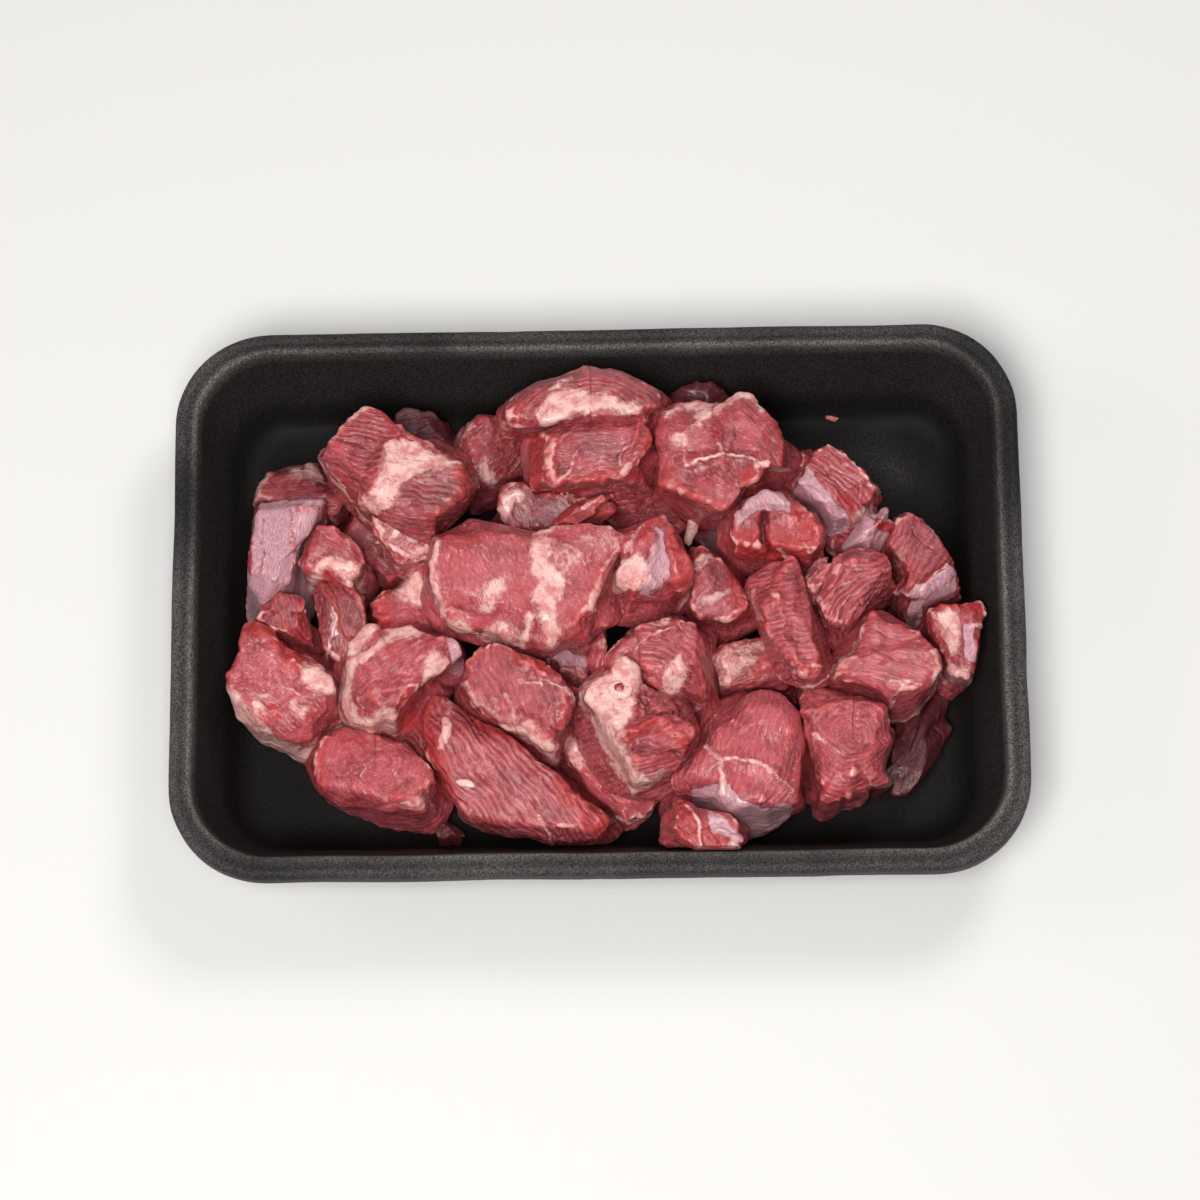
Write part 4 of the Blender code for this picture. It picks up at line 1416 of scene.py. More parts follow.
# %% Middle
MIDDLE = {
    "long_wedge": Look(-50, (
        band("ridge", 26, (452, 712), (480, 745), (530, 782), (580, 812), much=0.6),
        band("red", 13, (426, 702), (423, 728), (434, 747), (441, 776), (455, 803)),
        band("fat", 8, (446, 696), (450, 706), much=0.6),
        band("fat", 6, (450, 712), (446, 730), much=0.5),
        band("fat", 2.5, (541, 814), (551, 845)),
        band("fat", 1.8, (540, 772), (541, 814), much=0.5),
        band("red", 14, (480, 717), (507, 736), (532, 744)),
        band("red", 26, (565, 790), (600, 825), much=0.6),
    ), marbling=0.25, grain=1.35, tone=0.1, outline=ring(
        (422, 720), (432, 702), (445, 695), (455, 706), (478, 720), (498, 728), (520, 744), (540, 762),
        (560, 775), (575, 790), (590, 805), (616, 815), (612, 828), (600, 840), (580, 846), (545, 845),
        (530, 837), (510, 838), (485, 832), (462, 820), (457, 805), (447, 795), (440, 775), (432, 755)
    ), lines=0.5),
    "seam_cube": Look(-62, (
        band("ridge", 20, (476, 694), (503, 716), (530, 722), (552, 744), much=0.8),
        band("ridge", 14, (520, 660), (556, 680), (566, 700), (562, 730), much=0.7),
        patch("fat", (501, 721), (530, 721), (544, 735), (556, 745), (557, 762), (547, 759), (537, 745),
              (516, 731), (504, 728)),
        band("fat", 2, (516, 678), (539, 680), (541, 687), much=0.7),
        band("fat", 5, (506, 697), (514, 712), (524, 722), much=0.55),
        band("fat", 2.2, (541, 677), (568, 693), (572, 708), (566, 727), much=0.8),
        band("fat", 5, (466, 684), (489, 707), (503, 716), much=0.65),
        band("red", 9, (512, 734), (536, 746)),
        band("red", 9, (500, 652), (545, 672), much=0.6),
    ), marbling=0.2, tone=-0.05, outline=ring(
        (464, 682), (468, 662), (480, 648), (496, 641), (520, 654), (546, 664), (562, 678), (572, 696),
        (571, 715), (560, 735), (558, 764), (546, 761), (532, 748), (505, 732), (487, 715), (472, 698)
    ), lines=0.25),
    "centre_slab": Look(-70, (
        band("ridge", 16, (436, 608), (462, 622), (500, 632), (545, 646), much=0.7),
        band("ridge", 18, (612, 546), (600, 572), (590, 600), (584, 640), much=0.7),
        band("fat", 6, (438, 542), (435, 560), (436, 580), (440, 600), (446, 616), (458, 623), (471, 627)),
        patch("fat", (532, 545), (541, 538), (558, 540), (555, 552), (553, 563), (560, 570), (564, 580),
              (560, 600), (556, 612), (560, 630), (558, 646), (550, 653), (545, 640), (541, 622),
              (536, 606), (532, 595), (536, 580), (528, 573), (534, 560), (530, 552)),
        band("fat", 5, (560, 574), (572, 560), (588, 552), much=0.7),
        band("fat", 26, (566, 556), (604, 540), much=0.42),
        band("fat", 2, (570, 590), (567, 575), (577, 563), (592, 560), much=0.5),
        patch("fat", (485, 582), (497, 575), (509, 575), (508, 590), (500, 603), (488, 614), (478, 612),
              (484, 598), much=0.75),
        patch("fat", (466, 626), (482, 628), (495, 618), (515, 622), (525, 640), (503, 645),
              (485, 640), much=0.7),
        band("fat", 8, (530, 616), (524, 642)),
        band("fat", 4, (534, 536), (559, 527), (599, 525), (618, 527), (624, 539), much=0.7),
        band("fat", 4, (615, 546), (612, 557), (601, 571), much=0.8),
        band("fat", 2, (592, 600), (590, 633), (585, 645), much=0.6),
        band("red", 6, (437, 536), (470, 535), (482, 531), (500, 536), much=0.7),
        band("red", 8, (520, 590), (528, 610), much=0.7),
        band("red", 12, (572, 615), (580, 640), much=0.6),
    ), marbling=0.5, grain=0.6, tone=0.25, outline=ring(
        (434, 540), (445, 536), (470, 535), (482, 529), (493, 530), (500, 537), (530, 538), (545, 530),
        (565, 526), (612, 526), (624, 537), (620, 550), (612, 570), (600, 592), (592, 612), (590, 642),
        (575, 647), (562, 648), (556, 654), (543, 655), (528, 649), (510, 645), (497, 640), (480, 632),
        (462, 630), (445, 624), (441, 610), (433, 595), (430, 575), (432, 555)
    ), lines=0.1),
    "under_slab": Look(-70, (
        band("film", 16, (556, 655), (582, 664), much=0.6),
        band("fat", 9, (572, 668), (580, 684), much=0.35),
    ), tone=-0.5, painted_shadow=0.4, cells=COARSE),
    "grey_fat_back": Look(60, (
        band("fat", 7, (450, 458), (459, 437), (472, 427), much=0.6),
        patch("fat", (473, 470), (486, 462), (500, 474), (493, 486), (480, 483), much=0.7),
        band("film", 14, (484, 468), (490, 480), much=0.6),
    ), tone=-0.2, painted_shadow=0.15, cells=COARSE, outline=(
        (448, 464), (453, 446), (464, 430), (478, 416), (500, 416)
    )),
    "top_roll": Look(0, (
        patch("fat", (539, 414), (547, 396), (559, 390), (585, 391), (604, 392), (622, 401), (641, 404),
              (639, 412), (630, 415), (599, 413), (575, 414), (559, 420), (547, 431), (539, 428),
              (535, 425), (542, 422)),
        band("fat", 6, (553, 391), (561, 382), (570, 378), much=0.6),
        band("fat", 3, (503, 420), (505, 433), (513, 437), much=0.9),
        band("red", 14, (512, 412), (516, 428), much=0.8),
    ), whorl=(590, 458), marbling=0.25, grain=0.9, outline=ring(
        (503, 420), (505, 405), (518, 392), (535, 382), (553, 378), (570, 372), (586, 366), (600, 368),
        (622, 372), (640, 380), (655, 388), (663, 398), (658, 406), (644, 416), (600, 417), (575, 419),
        (558, 427), (543, 433), (530, 430), (513, 438), (505, 432)
    ), lines=0.25),
    "seam_face": Look(15, (
        band("ridge", 16, (552, 440), (548, 466), (556, 484), much=0.7),
        band("ridge", 16, (640, 425), (632, 450), (622, 468), much=0.7),
        band("fat", 3.5, (559, 478), (570, 465), (580, 452), much=0.7),
        band("fat", 3.5, (620, 463), (628, 446), much=0.6),
        band("red", 11, (538, 432), (535, 460), (537, 492)),
        band("red", 13, (557, 486), (563, 494)),
        band("fat", 3, (552, 499), (562, 502), (571, 495), much=0.6),
        band("red", 8, (576, 490), (600, 476), (631, 471), (646, 482)),
        band("red", 8, (650, 425), (646, 455), (634, 466), much=0.6),
        band("painted_shade", 30, (575, 440), (610, 450), much=0.25),
    ), marbling=0.6, grain=0.7, tone=-0.05, outline=ring(
        (540, 434), (556, 424), (590, 416), (640, 419), (652, 430), (650, 447), (640, 464), (646, 480),
        (652, 494), (632, 490), (612, 492), (590, 490), (572, 497), (556, 500), (544, 494), (532, 494),
        (528, 470), (527, 448)
    ), lines=0.1),
    "fat_end_cube": Look(-60, (
        patch("fat", (499, 500), (512, 490), (523, 489), (529, 508), (526, 509), (515, 500), (512, 509),
              (510, 522), (504, 521), (499, 509)),
        band("fat", 6, (518, 473), (528, 478), much=0.7),
        band("red", 8, (508, 482), (500, 492), much=0.6),
    ), tone=-0.45, painted_shadow=0.3, outline=(
        (512, 538), (504, 522), (498, 508), (499, 492), (508, 480), (522, 470)
    )),
    "red_strip": Look(35, (
        band("red", 14, (553, 525), (580, 513), (606, 490)),
        band("fat", 3.5, (582, 509), (604, 493), much=0.9),
    ), cells=COARSE, outline=ring(
        (548, 527), (560, 518), (575, 506), (595, 496), (612, 488), (616, 494), (605, 504), (585, 516),
        (565, 527), (552, 531)
    )),
    "deep_centre": Look(10, (band("fat", 6, (600, 518), (612, 522), much=0.4),), tone=-0.35, cells=COARSE),
    "lavender_fat": Look(60, (
        band("ridge", 18, (648, 528), (652, 560), (650, 590), much=0.8),
        band("ridge", 18, (668, 530), (676, 560), (682, 590), much=0.8),
        patch("fat", (602, 578), (614, 570), (624, 558), (636, 555), (647, 564), (651, 572), (641, 586),
              (628, 592), (614, 596), (603, 592)),
        patch("film", (657, 531), (664, 534), (669, 553), (673, 569), (672, 577), (664, 577), (662, 588),
              (650, 597), (638, 594), (640, 584), (650, 574), (646, 558), (651, 542)),
        band("red", 16, (677, 543), (685, 570), (677, 592)),
        band("red", 8, (645, 535), (655, 521), (664, 515)),
        band("fat", 5, (691, 578), (688, 598), (679, 609), much=0.8),
        band("fat", 5, (641, 530), (627, 549), much=0.6),
    ), outline=ring(
        (603, 575), (615, 560), (628, 545), (640, 532), (652, 520), (664, 515), (670, 535), (686, 552),
        (693, 572), (690, 592), (677, 612), (650, 608), (625, 604), (603, 595)
    )),
    "left_of_patch": Look(70, (band("fat", 10, (604, 644), (618, 634), much=0.6),), tone=-0.05, cells=COARSE),
    "fat_patch_lean": Look(60, (
        band("ridge", 16, (612, 668), (622, 648), (648, 634), (676, 626), much=0.8),
        patch("fat", (658, 698), (663, 672), (674, 656), (681, 654), (684, 672), (681, 689), (672, 703),
              (661, 711), (656, 705)),
        band("fat", 2, (604, 672), (610, 650), (628, 637), (650, 627), (670, 621), much=0.8),
        band("fat", 2, (630, 662), (640, 647), (655, 634), (672, 626), much=0.7),
        band("fat", 4, (688, 713), (706, 706), much=0.7),
        band("red", 7, (712, 690), (716, 712), much=0.6),
    ), whorl=(640, 700), marbling=0.3, outline=ring(
        (604, 675), (607, 655), (622, 640), (645, 628), (668, 618), (694, 624), (704, 650), (712, 680),
        (717, 706), (700, 713), (682, 716), (660, 722), (630, 710), (612, 695)
    ), lines=0.25),
    "tube_fat": Look(15, (
        band("ridge", 18, (622, 736), (650, 722), (690, 731), much=0.9),
        band("cleft", 12, (636, 750), (660, 750), (680, 756), much=0.8),
        patch("fat", (609, 674), (614, 661), (627, 659), (636, 666), (641, 678), (641, 686), (634, 693),
              (634, 707), (628, 722), (625, 738), (629, 754), (638, 770), (654, 784), (632, 792),
              (613, 764), (601, 745), (593, 728), (590, 712), (582, 700), (588, 685)),
        band("red", 14, (622, 738), (649, 724), (672, 733), (686, 744)),
        band("painted_shade", 18, (632, 746), (668, 752), much=0.35),
        band("fat", 14, (636, 782), (664, 774), much=0.5),
        band("red", 5, (612, 690), (621, 704), much=0.5),
        band("crease", 4, (640, 700), (655, 716), (680, 712), much=0.7),
    ), marbling=0.4, tone=0.15, grain=1.3, outline=ring(
        (614, 661), (628, 658), (638, 668), (640, 682), (634, 698), (645, 711), (668, 716), (688, 724),
        (695, 735), (685, 748), (682, 760), (672, 775), (664, 790), (650, 790), (632, 791), (622, 778),
        (612, 762), (602, 745), (595, 728), (592, 710), (583, 700), (590, 686), (606, 676)
    ), lines=0.3),
    "below_tube": Look(-45, (
        patch("fat", (563, 740), (568, 736), (578, 745), (586, 756), (582, 768), (571, 763), (564, 750)),
        band("fat", 3, (575, 745), (594, 764), (618, 781), (639, 791)),
        band("fat", 3, (606, 818), (627, 821), (650, 812), much=0.8),
        band("red", 7, (640, 800), (655, 795), much=0.5),
    ), marbling=0.25, tone=0.6, outline=ring(
        (563, 736), (575, 728), (590, 712), (620, 730), (660, 770), (668, 790), (660, 802), (642, 818),
        (620, 821), (600, 808), (583, 792), (571, 772), (564, 752)
    )),
}
dress_dice(MIDDLE)

# %% [markdown]
# ## The right end of the heap
#
# The large die at the back has a torn cap of fat and a pale seam. In front of it lie the cube with
# its face of silver skin, the swirl whose grain curls like a fingerprint, and at the front a die
# whose seams of fat meet in a Y.

# %% Right end
RIGHT_END = {
    "back_lean": Look(12, (), tone=-0.2, cells=COARSE, outline=(
        (660, 404), (675, 392), (695, 383), (712, 382), (724, 391), (732, 404)
    ), painted_shadow=1.0),
    "big_right_back": Look(-35, (
        band("ridge", 20, (688, 462), (722, 455), (757, 462), much=0.7),
        band("ridge", 22, (722, 410), (728, 432), (722, 453), much=0.7),
        patch("fat", (662, 411), (677, 404), (694, 402), (709, 402), (717, 408), (713, 416), (708, 423),
              (699, 427), (689, 428), (696, 419), (702, 413), (688, 411), (673, 415), (663, 419)),
        band("fat", 8, (718, 414), (731, 404), (740, 395), (750, 398), (761, 408)),
        patch("fat", (673, 437), (683, 431), (687, 445), (685, 453), (679, 445), much=0.8),
        band("fat", 4.5, (718, 444), (722, 453), much=0.7),
        band("fat", 2.4, (686, 466), (704, 459), (723, 456), (742, 454), (755, 459), (757, 466)),
        band("fat", 6, (757, 467), (768, 466)),
        patch("red", (740, 474), (751, 464), (761, 485), (750, 492), (738, 494)),
        patch("red", (657, 468), (682, 466), (683, 507), (662, 501), much=0.7),
        band("fat", 2, (686, 429), (684, 448), (687, 466), much=0.8),
        band("red", 24, (700, 440), (712, 432), much=0.4),
    ), marbling=0.35, tone=0.05, outline=ring(
        (660, 413), (675, 405), (705, 402), (718, 407), (732, 400), (740, 392), (750, 396), (760, 407),
        (773, 420), (782, 436), (791, 455), (795, 474), (782, 468), (770, 470), (760, 486), (745, 500),
        (735, 520), (718, 530), (700, 524), (690, 512), (665, 502), (657, 485), (659, 455), (656, 428)
    )),
    "nub": Look(40, (band("fat", 7, (795, 451), (800, 460), much=0.4),), tone=-0.2, cells=COARSE),
    "red_cut": Look(-75, (
        band("cleft", 12, (762, 516), (765, 535), (770, 552), much=0.9),
        band("ridge", 18, (738, 520), (766, 512), (792, 520), much=0.7),
        patch("film", (736, 518), (742, 504), (755, 492), (768, 491), (780, 493), (789, 505), (792, 519),
              (780, 515), (767, 512), (758, 512), (748, 517), (737, 527)),
        patch("fat", (761, 474), (774, 476), (776, 488), (764, 491), much=0.6),
        band("red", 32, (742, 540), (770, 546), (806, 547)),
        band("red", 22, (800, 515), (812, 530)),
        band("crease", 4, (761, 514), (763, 530), (767, 547), much=0.9),
        band("fat", 5, (780, 547), (788, 556), much=0.8),
        band("fat", 3, (803, 546), (809, 552), much=0.7),
    ), marbling=0.4, tone=0.1, outline=ring(
        (727, 540), (737, 515), (750, 498), (766, 490), (784, 494), (796, 507), (815, 513), (826, 530),
        (826, 545), (816, 553), (812, 567), (800, 567), (783, 558), (765, 564), (745, 568), (729, 560)
    )),
    "under_red_cut": Look(60, (
        band("film", 22, (706, 556), (726, 524), much=0.6),
    ), tone=-0.35, cells=COARSE, painted_shadow=1.0),
    "silver_cube": Look(-38, (
        band("ridge", 14, (812, 468), (832, 490), (852, 516), much=0.8),
        patch("film", (799, 475), (808, 465), (815, 478), (828, 491), (841, 505), (851, 518), (846, 530),
              (831, 540), (818, 530), (807, 512), (795, 501), (791, 490)),
        band("fat", 2.4, (828, 443), (847, 459), (879, 491), (882, 498), much=0.9),
        patch("fat", (850, 522), (857, 509), (871, 505), (870, 517), (854, 529)),
        band("red", 6, (845, 496), (854, 510)),
        band("red", 6, (876, 497), (880, 503)),
    ), marbling=0.4, tone=0.35, outline=ring(
        (792, 492), (800, 475), (809, 465), (813, 453), (828, 443), (845, 455), (862, 472), (878, 490),
        (882, 500), (872, 506), (872, 520), (850, 530), (838, 538), (828, 540), (818, 530), (808, 514),
        (796, 503)
    ), lines=0.4),
    "lavender_side": Look(20, (
        band("red", 6, (831, 542), (852, 523)),
        band("red", 9, (878, 524), (887, 530)),
        band("fat", 12, (880, 540), (890, 548), much=0.35),
        band("fat", 3, (893, 523), (889, 537), much=0.6),
    ), cells=COARSE, outline=ring(
        (832, 545), (845, 528), (862, 514), (882, 517), (896, 524), (893, 544), (882, 556), (855, 556)
    )),
    "red_side": Look(50, (
        band("fat", 9, (696, 569), (706, 556), much=0.6),
        # Silver skin and fat here are partly painted highlight, where the side glints.
        band("film", 8, (704, 603), (716, 598), (729, 592), much=0.6),
        band("fat", 4, (707, 600), (722, 596), much=0.6),
        band("red", 16, (735, 580), (742, 612)),
        band("red", 10, (700, 545), (715, 548), much=0.8),
    ), marbling=0.4, tone=-0.3, painted_shadow=0.08, outline=ring(
        (690, 550), (702, 545), (716, 558), (730, 577), (740, 596), (743, 614), (734, 626), (712, 630),
        (692, 628), (680, 610), (686, 580)
    )),
    "pink_deep": Look(20, (
        patch("fat", (709, 659), (732, 645), (768, 643), (773, 652), (750, 663), (732, 675), (727, 689),
              (713, 691), much=0.6),
        band("red", 16, (755, 674), (776, 660), (787, 682), much=0.8),
    ), tone=-0.05, outline=ring(
        (706, 658), (720, 645), (745, 640), (772, 642), (778, 655), (790, 675), (796, 690), (789, 698),
        (772, 690), (748, 690), (725, 696), (714, 690)
    )),
    "upright_strip": Look(12, (
        band("ridge", 20, (788, 566), (776, 592), (782, 630), (800, 672), much=0.7),
        band("fat", 3.5, (798, 680), (805, 685), (819, 684), (828, 674)),
        band("red", 12, (805, 672), (823, 660), much=0.8),
        band("fat", 6, (753, 592), (760, 616), much=0.5),
    ), marbling=0.3, grain=1.1, tone=0.35, outline=ring(
        (785, 562), (793, 555), (800, 565), (806, 590), (812, 615), (820, 640), (829, 665), (827, 676),
        (815, 686), (802, 684), (797, 674), (785, 668), (775, 655), (768, 640), (762, 630), (764, 615),
        (757, 592), (770, 580)
    ), lines=0.3),
    "swirl": Look(0, (
        band("ridge", 18, (838, 560), (836, 590), (828, 622), much=0.6),
        band("fat", 1.6, (821, 622), (828, 600), (845, 583), (866, 577), (887, 588), much=0.7),
        band("fat", 1.6, (832, 632), (836, 610), (850, 594), (868, 588), (886, 597), much=0.7),
        band("fat", 1.4, (842, 630), (848, 612), (864, 602), (880, 604), much=0.6),
        band("fat", 1.4, (828, 580), (850, 569), (876, 568), much=0.5),
        band("red", 8, (880, 556), (889, 562), much=0.7),
    ), whorl=(890, 634), marbling=0.2, grain=1.25, tone=0.15, outline=ring(
        (828, 575), (838, 557), (855, 548), (872, 549), (885, 556), (892, 568), (890, 585), (880, 600),
        (865, 610), (858, 625), (850, 635), (838, 642), (828, 635), (820, 618), (818, 600)
    ), lines=0.6),
    "fat_flap": Look(60, (band("red", 5, (818, 592), (826, 574), much=0.6),), cells=COARSE, outline=ring(
        (808, 575), (815, 568), (828, 563), (838, 562), (836, 575), (828, 590), (820, 604), (814, 606),
        (810, 590)
    )),
    "right_back_lean": Look(60, (
        band("ridge", 18, (896, 590), (925, 590), (948, 572), much=0.8),
        patch("film", (905, 630), (905, 620), (911, 604), (921, 596), (905, 592), (925, 588), (936, 577),
              (948, 567), (954, 577), (956, 597), (939, 599), (928, 606), (921, 613), (914, 630)),
        band("fat", 3, (892, 592), (911, 590), (927, 587), (937, 576), (947, 568)),
        band("fat", 2.2, (911, 604), (905, 620), (905, 630)),
        band("fat", 7, (896, 566), (903, 550), much=0.4),
        band("red", 8, (932, 577), (945, 566)),
        band("painted_shade", 10, (924, 522), (945, 545), (958, 570), much=0.45),
    ), marbling=0.3, grain=1.2, tone=-0.1, outline=ring(
        (886, 545), (896, 520), (906, 512), (922, 520), (938, 538), (952, 560), (958, 585), (952, 602),
        (930, 616), (908, 636), (895, 620), (888, 600), (890, 572)
    ), painted_shadow=0.15, lines=0.35),
    "right_end": Look(75, (
        band("ridge", 16, (930, 614), (946, 640), (956, 654), much=0.8),
        band("red", 12, (926, 609), (938, 604), (961, 605), (982, 604), (984, 618)),
        patch("fat", (934, 618), (947, 610), (959, 615), (962, 636), (959, 650), (952, 654), (943, 634)),
        band("film", 11, (970, 630), (972, 656)),
        band("red", 6, (925, 620), (945, 667)),
        patch("fat", (941, 683), (971, 686), (971, 666), (950, 662), much=0.75),
        band("fat", 3, (983, 612), (984, 624), (970, 628), much=0.7),
    ), outline=ring(
        (924, 616), (940, 603), (960, 604), (980, 601), (987, 617), (974, 628), (977, 652), (974, 672),
        (970, 685), (948, 690), (940, 682), (942, 662), (933, 642)
    )),
    "big_right": Look(-20, (
        band("ridge", 20, (845, 662), (880, 655), (910, 650), (935, 655), much=0.6),
        band("fat", 4.5, (932, 652), (939, 668), (932, 691), (920, 709), (908, 721), (890, 721)),
        band("fat", 4, (888, 682), (902, 686), (915, 682), much=0.75),
        band("fat", 3, (902, 686), (888, 706), much=0.8),
        band("fat", 2.2, (870, 613), (860, 636), (847, 657), (837, 661), much=0.8),
        band("fat", 2, (925, 652), (912, 668), (903, 683), much=0.4),
    ), marbling=0.3, tone=0.3, outline=ring(
        (872, 612), (886, 622), (902, 633), (918, 630), (930, 645), (941, 660), (940, 677), (932, 694),
        (920, 712), (905, 722), (890, 722), (878, 706), (860, 698), (840, 690), (830, 680), (830, 665),
        (845, 655), (857, 640), (865, 622)
    )),
    "right_under": Look(70, (
        band("fat", 3, (893, 780), (886, 790), much=0.7),
    ), tone=-0.3, cells=COARSE, outline=(
        (930, 696), (953, 700), (938, 714), (922, 727), (910, 745), (899, 752), (896, 782), (880, 795),
        (858, 806), (845, 800)
    ), painted_shadow=1.0),
    "right_front": Look(-85, (
        band("ridge", 16, (806, 712), (850, 704), (885, 710), much=0.8),
        band("ridge", 20, (848, 790), (852, 765), (884, 745), much=0.7),
        band("fat", 6, (816, 735), (820, 740), much=0.9),
        band("fat", 2, (820, 744), (840, 751), much=0.8),
        band("fat", 3, (890, 700), (888, 751), (883, 774), (884, 786), (892, 788), much=0.6),
        band("fat", 2, (864, 770), (868, 790), (858, 806), much=0.6),
        band("painted_shade", 14, (808, 692), (880, 698), much=0.3),
        band("red", 10, (815, 800), (830, 790), (850, 795), much=0.7),
    ), whorl=(853, 737), marbling=0.35, tone=0.25, outline=ring(
        (797, 698), (806, 690), (832, 690), (858, 698), (882, 702), (890, 722), (889, 748), (884, 770),
        (893, 785), (872, 788), (850, 798), (838, 816), (820, 823), (812, 814), (818, 795), (818, 775),
        (811, 757), (806, 738), (803, 716)
    ), lines=0.2),
    "big_front": Look(72, (
        band("ridge", 26, (700, 752), (722, 765), (724, 792), much=0.6),
        band("ridge", 24, (722, 762), (748, 760), (792, 794), much=0.5),
        band("fat", 5, (722, 765), (706, 746)),
        band("fat", 4, (723, 764), (746, 760), (768, 771), (792, 792), much=0.85),
        band("fat", 4.5, (722, 765), (725, 792), much=0.85),
        band("fat", 3, (722, 766), (702, 771), much=0.6),
        patch("film", (694, 788), (712, 782), (727, 786), (742, 798), (760, 808), (790, 802), (792, 820),
              (755, 840), (736, 846), (718, 846), (704, 824), (694, 803)),
        patch("fat", (745, 822), (765, 820), (788, 814), (780, 828), (755, 835), (740, 836), much=0.55),
    ), marbling=0.3, tone=0.2, outline=ring(
        (664, 786), (668, 772), (690, 755), (708, 742), (722, 722), (738, 702), (752, 690), (770, 689),
        (786, 696), (798, 714), (805, 740), (803, 768), (800, 792), (806, 808), (788, 815), (772, 830),
        (745, 838), (725, 842), (705, 825), (690, 802), (672, 798)
    ), lines=0.2),
    "front_lip": Look(-60, (
        band("red", 30, (680, 815), (700, 845), (716, 850), much=0.8),
        band("fat", 3, (686, 809), (697, 820), (695, 836), (700, 853)),
        band("fat", 9, (734, 840), (731, 854), much=0.8),
        patch("film", (704, 808), (722, 818), (742, 832), (742, 850), (722, 852), (708, 836), much=0.8),
    ), tone=0.1, outline=ring(
        (672, 802), (690, 800), (705, 815), (722, 825), (745, 838), (738, 850), (732, 857), (708, 857),
        (692, 846), (676, 834), (668, 828), (674, 812)
    )),
}
dress_dice(RIGHT_END)
print("dice still bare:", sorted(set(SLOTS) - set(dressed)))

# %% [markdown]
# ## Crumbs, shreds and the cut end of a vein
#
# Where the knife has been, small bits of fat and fibre stay behind. Each is a thin lump drawn along
# a short path that is given in the frame and laid on the piece that is seen there. The vein on
# the fat of the front die is such a path too, closed to a ring.

# %% Places on the meat


def laid_on(piece, pixels):
    """For each place in the frame, the point of a piece that is seen there, nearest to the camera."""
    mesh = piece.data
    points = np.empty(len(mesh.vertices) * 3)
    mesh.vertices.foreach_get("co", points)
    points = points.reshape(-1, 3) / MM
    miss = np.linalg.norm(seen_at(points)[None] - np.array(pixels, float)[:, None], axis=2)
    score = np.where(miss < miss.min(axis=1, keepdims=True) + 2.0, points @ BACK, -1e6)
    return points[score.argmax(axis=1)]


def at_height(pixels, height):
    """The points at a height in millimetres that are seen at the given places in the frame."""
    pixels = np.array(pixels, float)
    start = np.column_stack((np.zeros((len(pixels), 2)), np.full(len(pixels), height)))
    for _ in range(6):
        miss = pixels - seen_at(start)
        step = (miss[:, :1] * RIGHT - miss[:, 1:] * UP) / PIXELS_PER_MM
        start[:, :2] += step[:, :2]
    return start


print("places are found to within two pixels")

# %% [markdown]
# A shred could be a curve with a bevel, but a lump of rings of points swells and thins like torn
# fat, and a little noise makes it uneven.

# %% A lump along a path


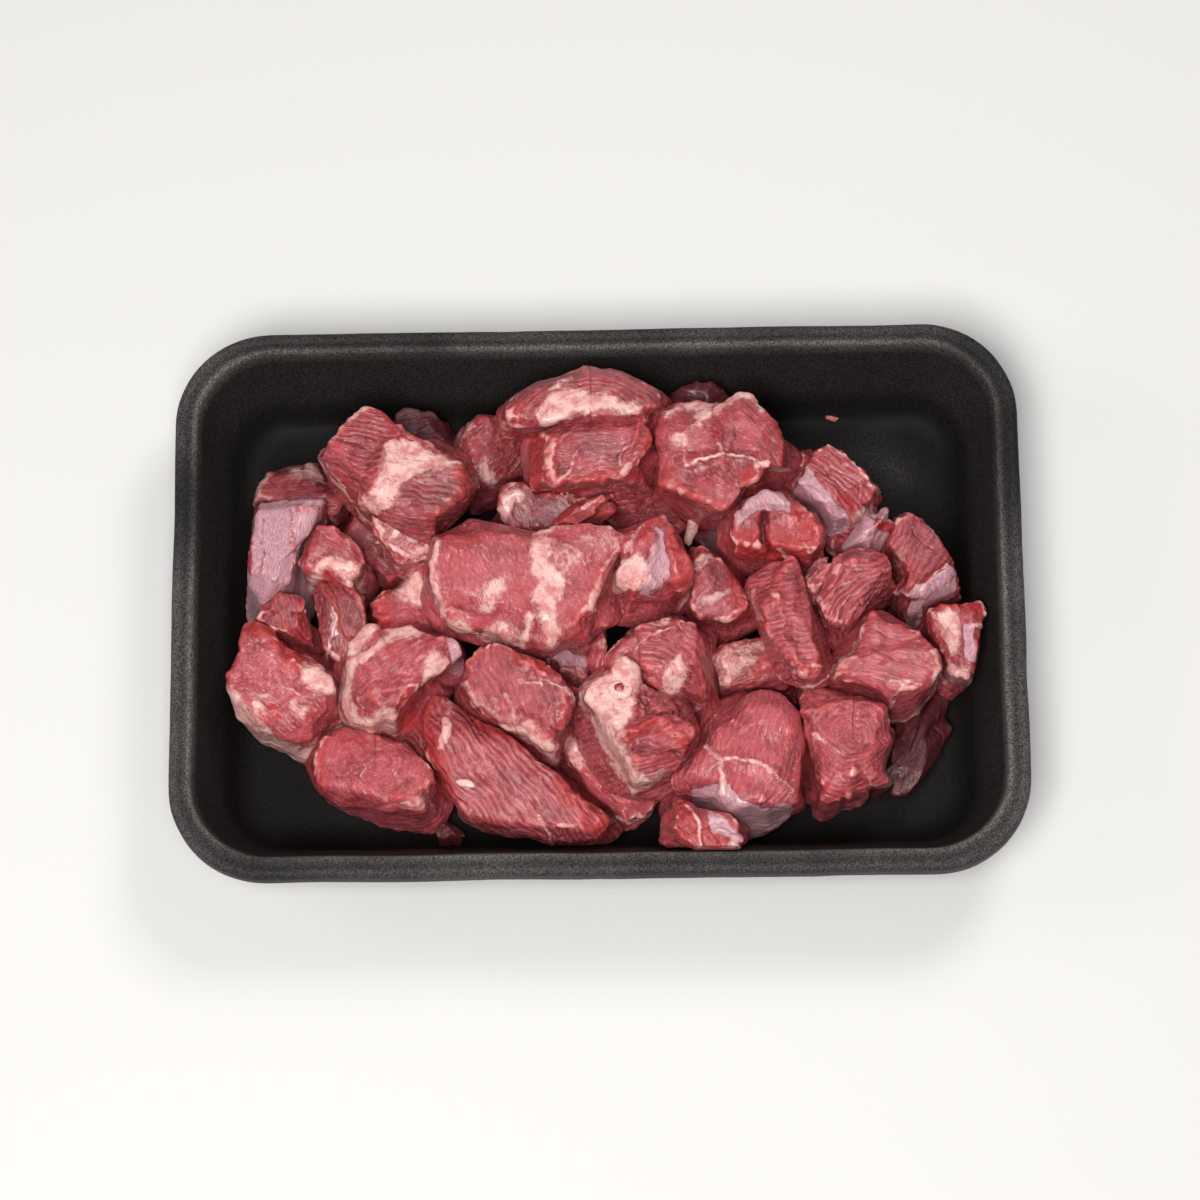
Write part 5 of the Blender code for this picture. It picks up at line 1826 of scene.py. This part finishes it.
def bit(name, path, radius, slot="meat_fat", values=None, flat=0.7, rings=22, sides=12):
    """A lump along a path: its radius swells from nought at one end and falls to nought again."""
    share = np.linspace(0.0, 1.0, rings)
    known = np.linspace(0.0, 1.0, len(path))
    line = np.column_stack([np.interp(share, known, path[:, k]) for k in range(3)])
    ahead = unit(np.gradient(line, axis=0))
    side = unit(np.cross(ahead, BACK))
    over = np.cross(side, ahead)
    swell = radius * (1 - np.abs(2 * share - 1) ** 3.0) ** 0.5 + 0.02
    angle = np.arange(sides) / sides * math.tau
    outwards, upwards = np.cos(angle)[None, :, None], flat * np.sin(angle)[None, :, None]
    ring_points = (outwards * side[:, None] + upwards * over[:, None]) * swell[:, None, None]
    points = np.vstack(((line[:, None] + ring_points).reshape(-1, 3), line[:1], line[-1:]))
    points += over.mean(axis=0) * radius * flat * 0.5
    lumps = max(2.2 * radius, 0.8)
    points += 0.3 * radius * np.column_stack([rough(points, lumps, 70 + k, 2) for k in range(3)])
    here = np.arange(rings * sides).reshape(rings, sides)
    beside = np.roll(here, -1, axis=1)
    lower = np.stack((here[:-1], beside[:-1], beside[1:]), axis=-1).reshape(-1, 3)
    upper = np.stack((here[:-1], beside[1:], here[1:]), axis=-1).reshape(-1, 3)
    first = np.column_stack((np.full(sides, rings * sides), beside[0], here[0]))
    last = np.column_stack((np.full(sides, rings * sides + 1), here[-1], beside[-1]))
    faces = np.vstack((lower, upper, first, last))
    values = {key: np.full(len(points), float(value)) for key, value in (values or {"fat": 1.0}).items()}
    return make_piece(name, points, faces, FINISHES[slot], slot, (), values)


print("a bit has", 22 * 12 * 2, "triangles, unless it has more rings")

# %% [markdown]
# A crumb of fat lies on the tray at the back right, two shreds lie on the long wedge, a ribbon
# hangs in a gap, and three torn fibres hang from the seamed die. The vein is a path round its
# mouth, left open at one side, with a red lump for the hole.

# %% Lay the bits
bits = [
    bit("crumb_on_tray", at_height(((825, 417), (832, 418), (838, 419)), 4.6), 0.75, values={"fat": 0.45}),
    bit("fat_shred_front", laid_on(dressed["long_wedge"], ((445, 717), (449, 728), (447, 743))), 1.3),
    bit("fat_shred_low", laid_on(dressed["long_wedge"], ((457, 781), (467, 781), (476, 785))), 1.0),
    bit("pale_ribbon", at_height(((698, 508), (694, 522), (689, 545)), 20.0), 1.9, values={"fat": 0.9}),
    bit("fringe_one", laid_on(dressed["seam_face"], ((553, 494), (552, 500))), 0.5),
    bit("fringe_two", laid_on(dressed["seam_face"], ((561, 495), (562, 502))), 0.5),
    bit("fringe_three", laid_on(dressed["seam_face"], ((568, 493), (571, 500))), 0.5),
]
VEIN_MIDDLE, VEIN_REACH = (621.0, 687.0), (7.5, 6.5)  # in the frame
around = np.linspace(-0.6, math.tau - 1.7, 13)
vein = np.column_stack((np.cos(around), np.sin(around))) * VEIN_REACH + VEIN_MIDDLE
bits.append(bit("vein_end", laid_on(dressed["tube_fat"], vein), 1.5, flat=0.6, rings=40))
mouth = laid_on(dressed["tube_fat"], ((617, 690), (625, 685)))
# The hole is a red lump with a little painted shade.
bits.append(bit("vein_mouth", mouth + 0.3 * BACK, 1.8, "lean_meat", {"red": 1.0, "painted_shade": 0.35}, flat=0.5))
print("bits:", len(bits))

# %% [markdown]
# ## The size
#
# Both boxes, of the solids and of the skins, are printed side by side. The skins may not make
# the pack bigger than its solids.

# %% Print both boxes
boxes = [cad_box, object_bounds()]
for label, (low_corner, high_corner) in zip(("solids", "skins"), boxes):
    print(label, [round((h - l) * 1000, 1) for l, h in zip(low_corner, high_corner)], "mm")
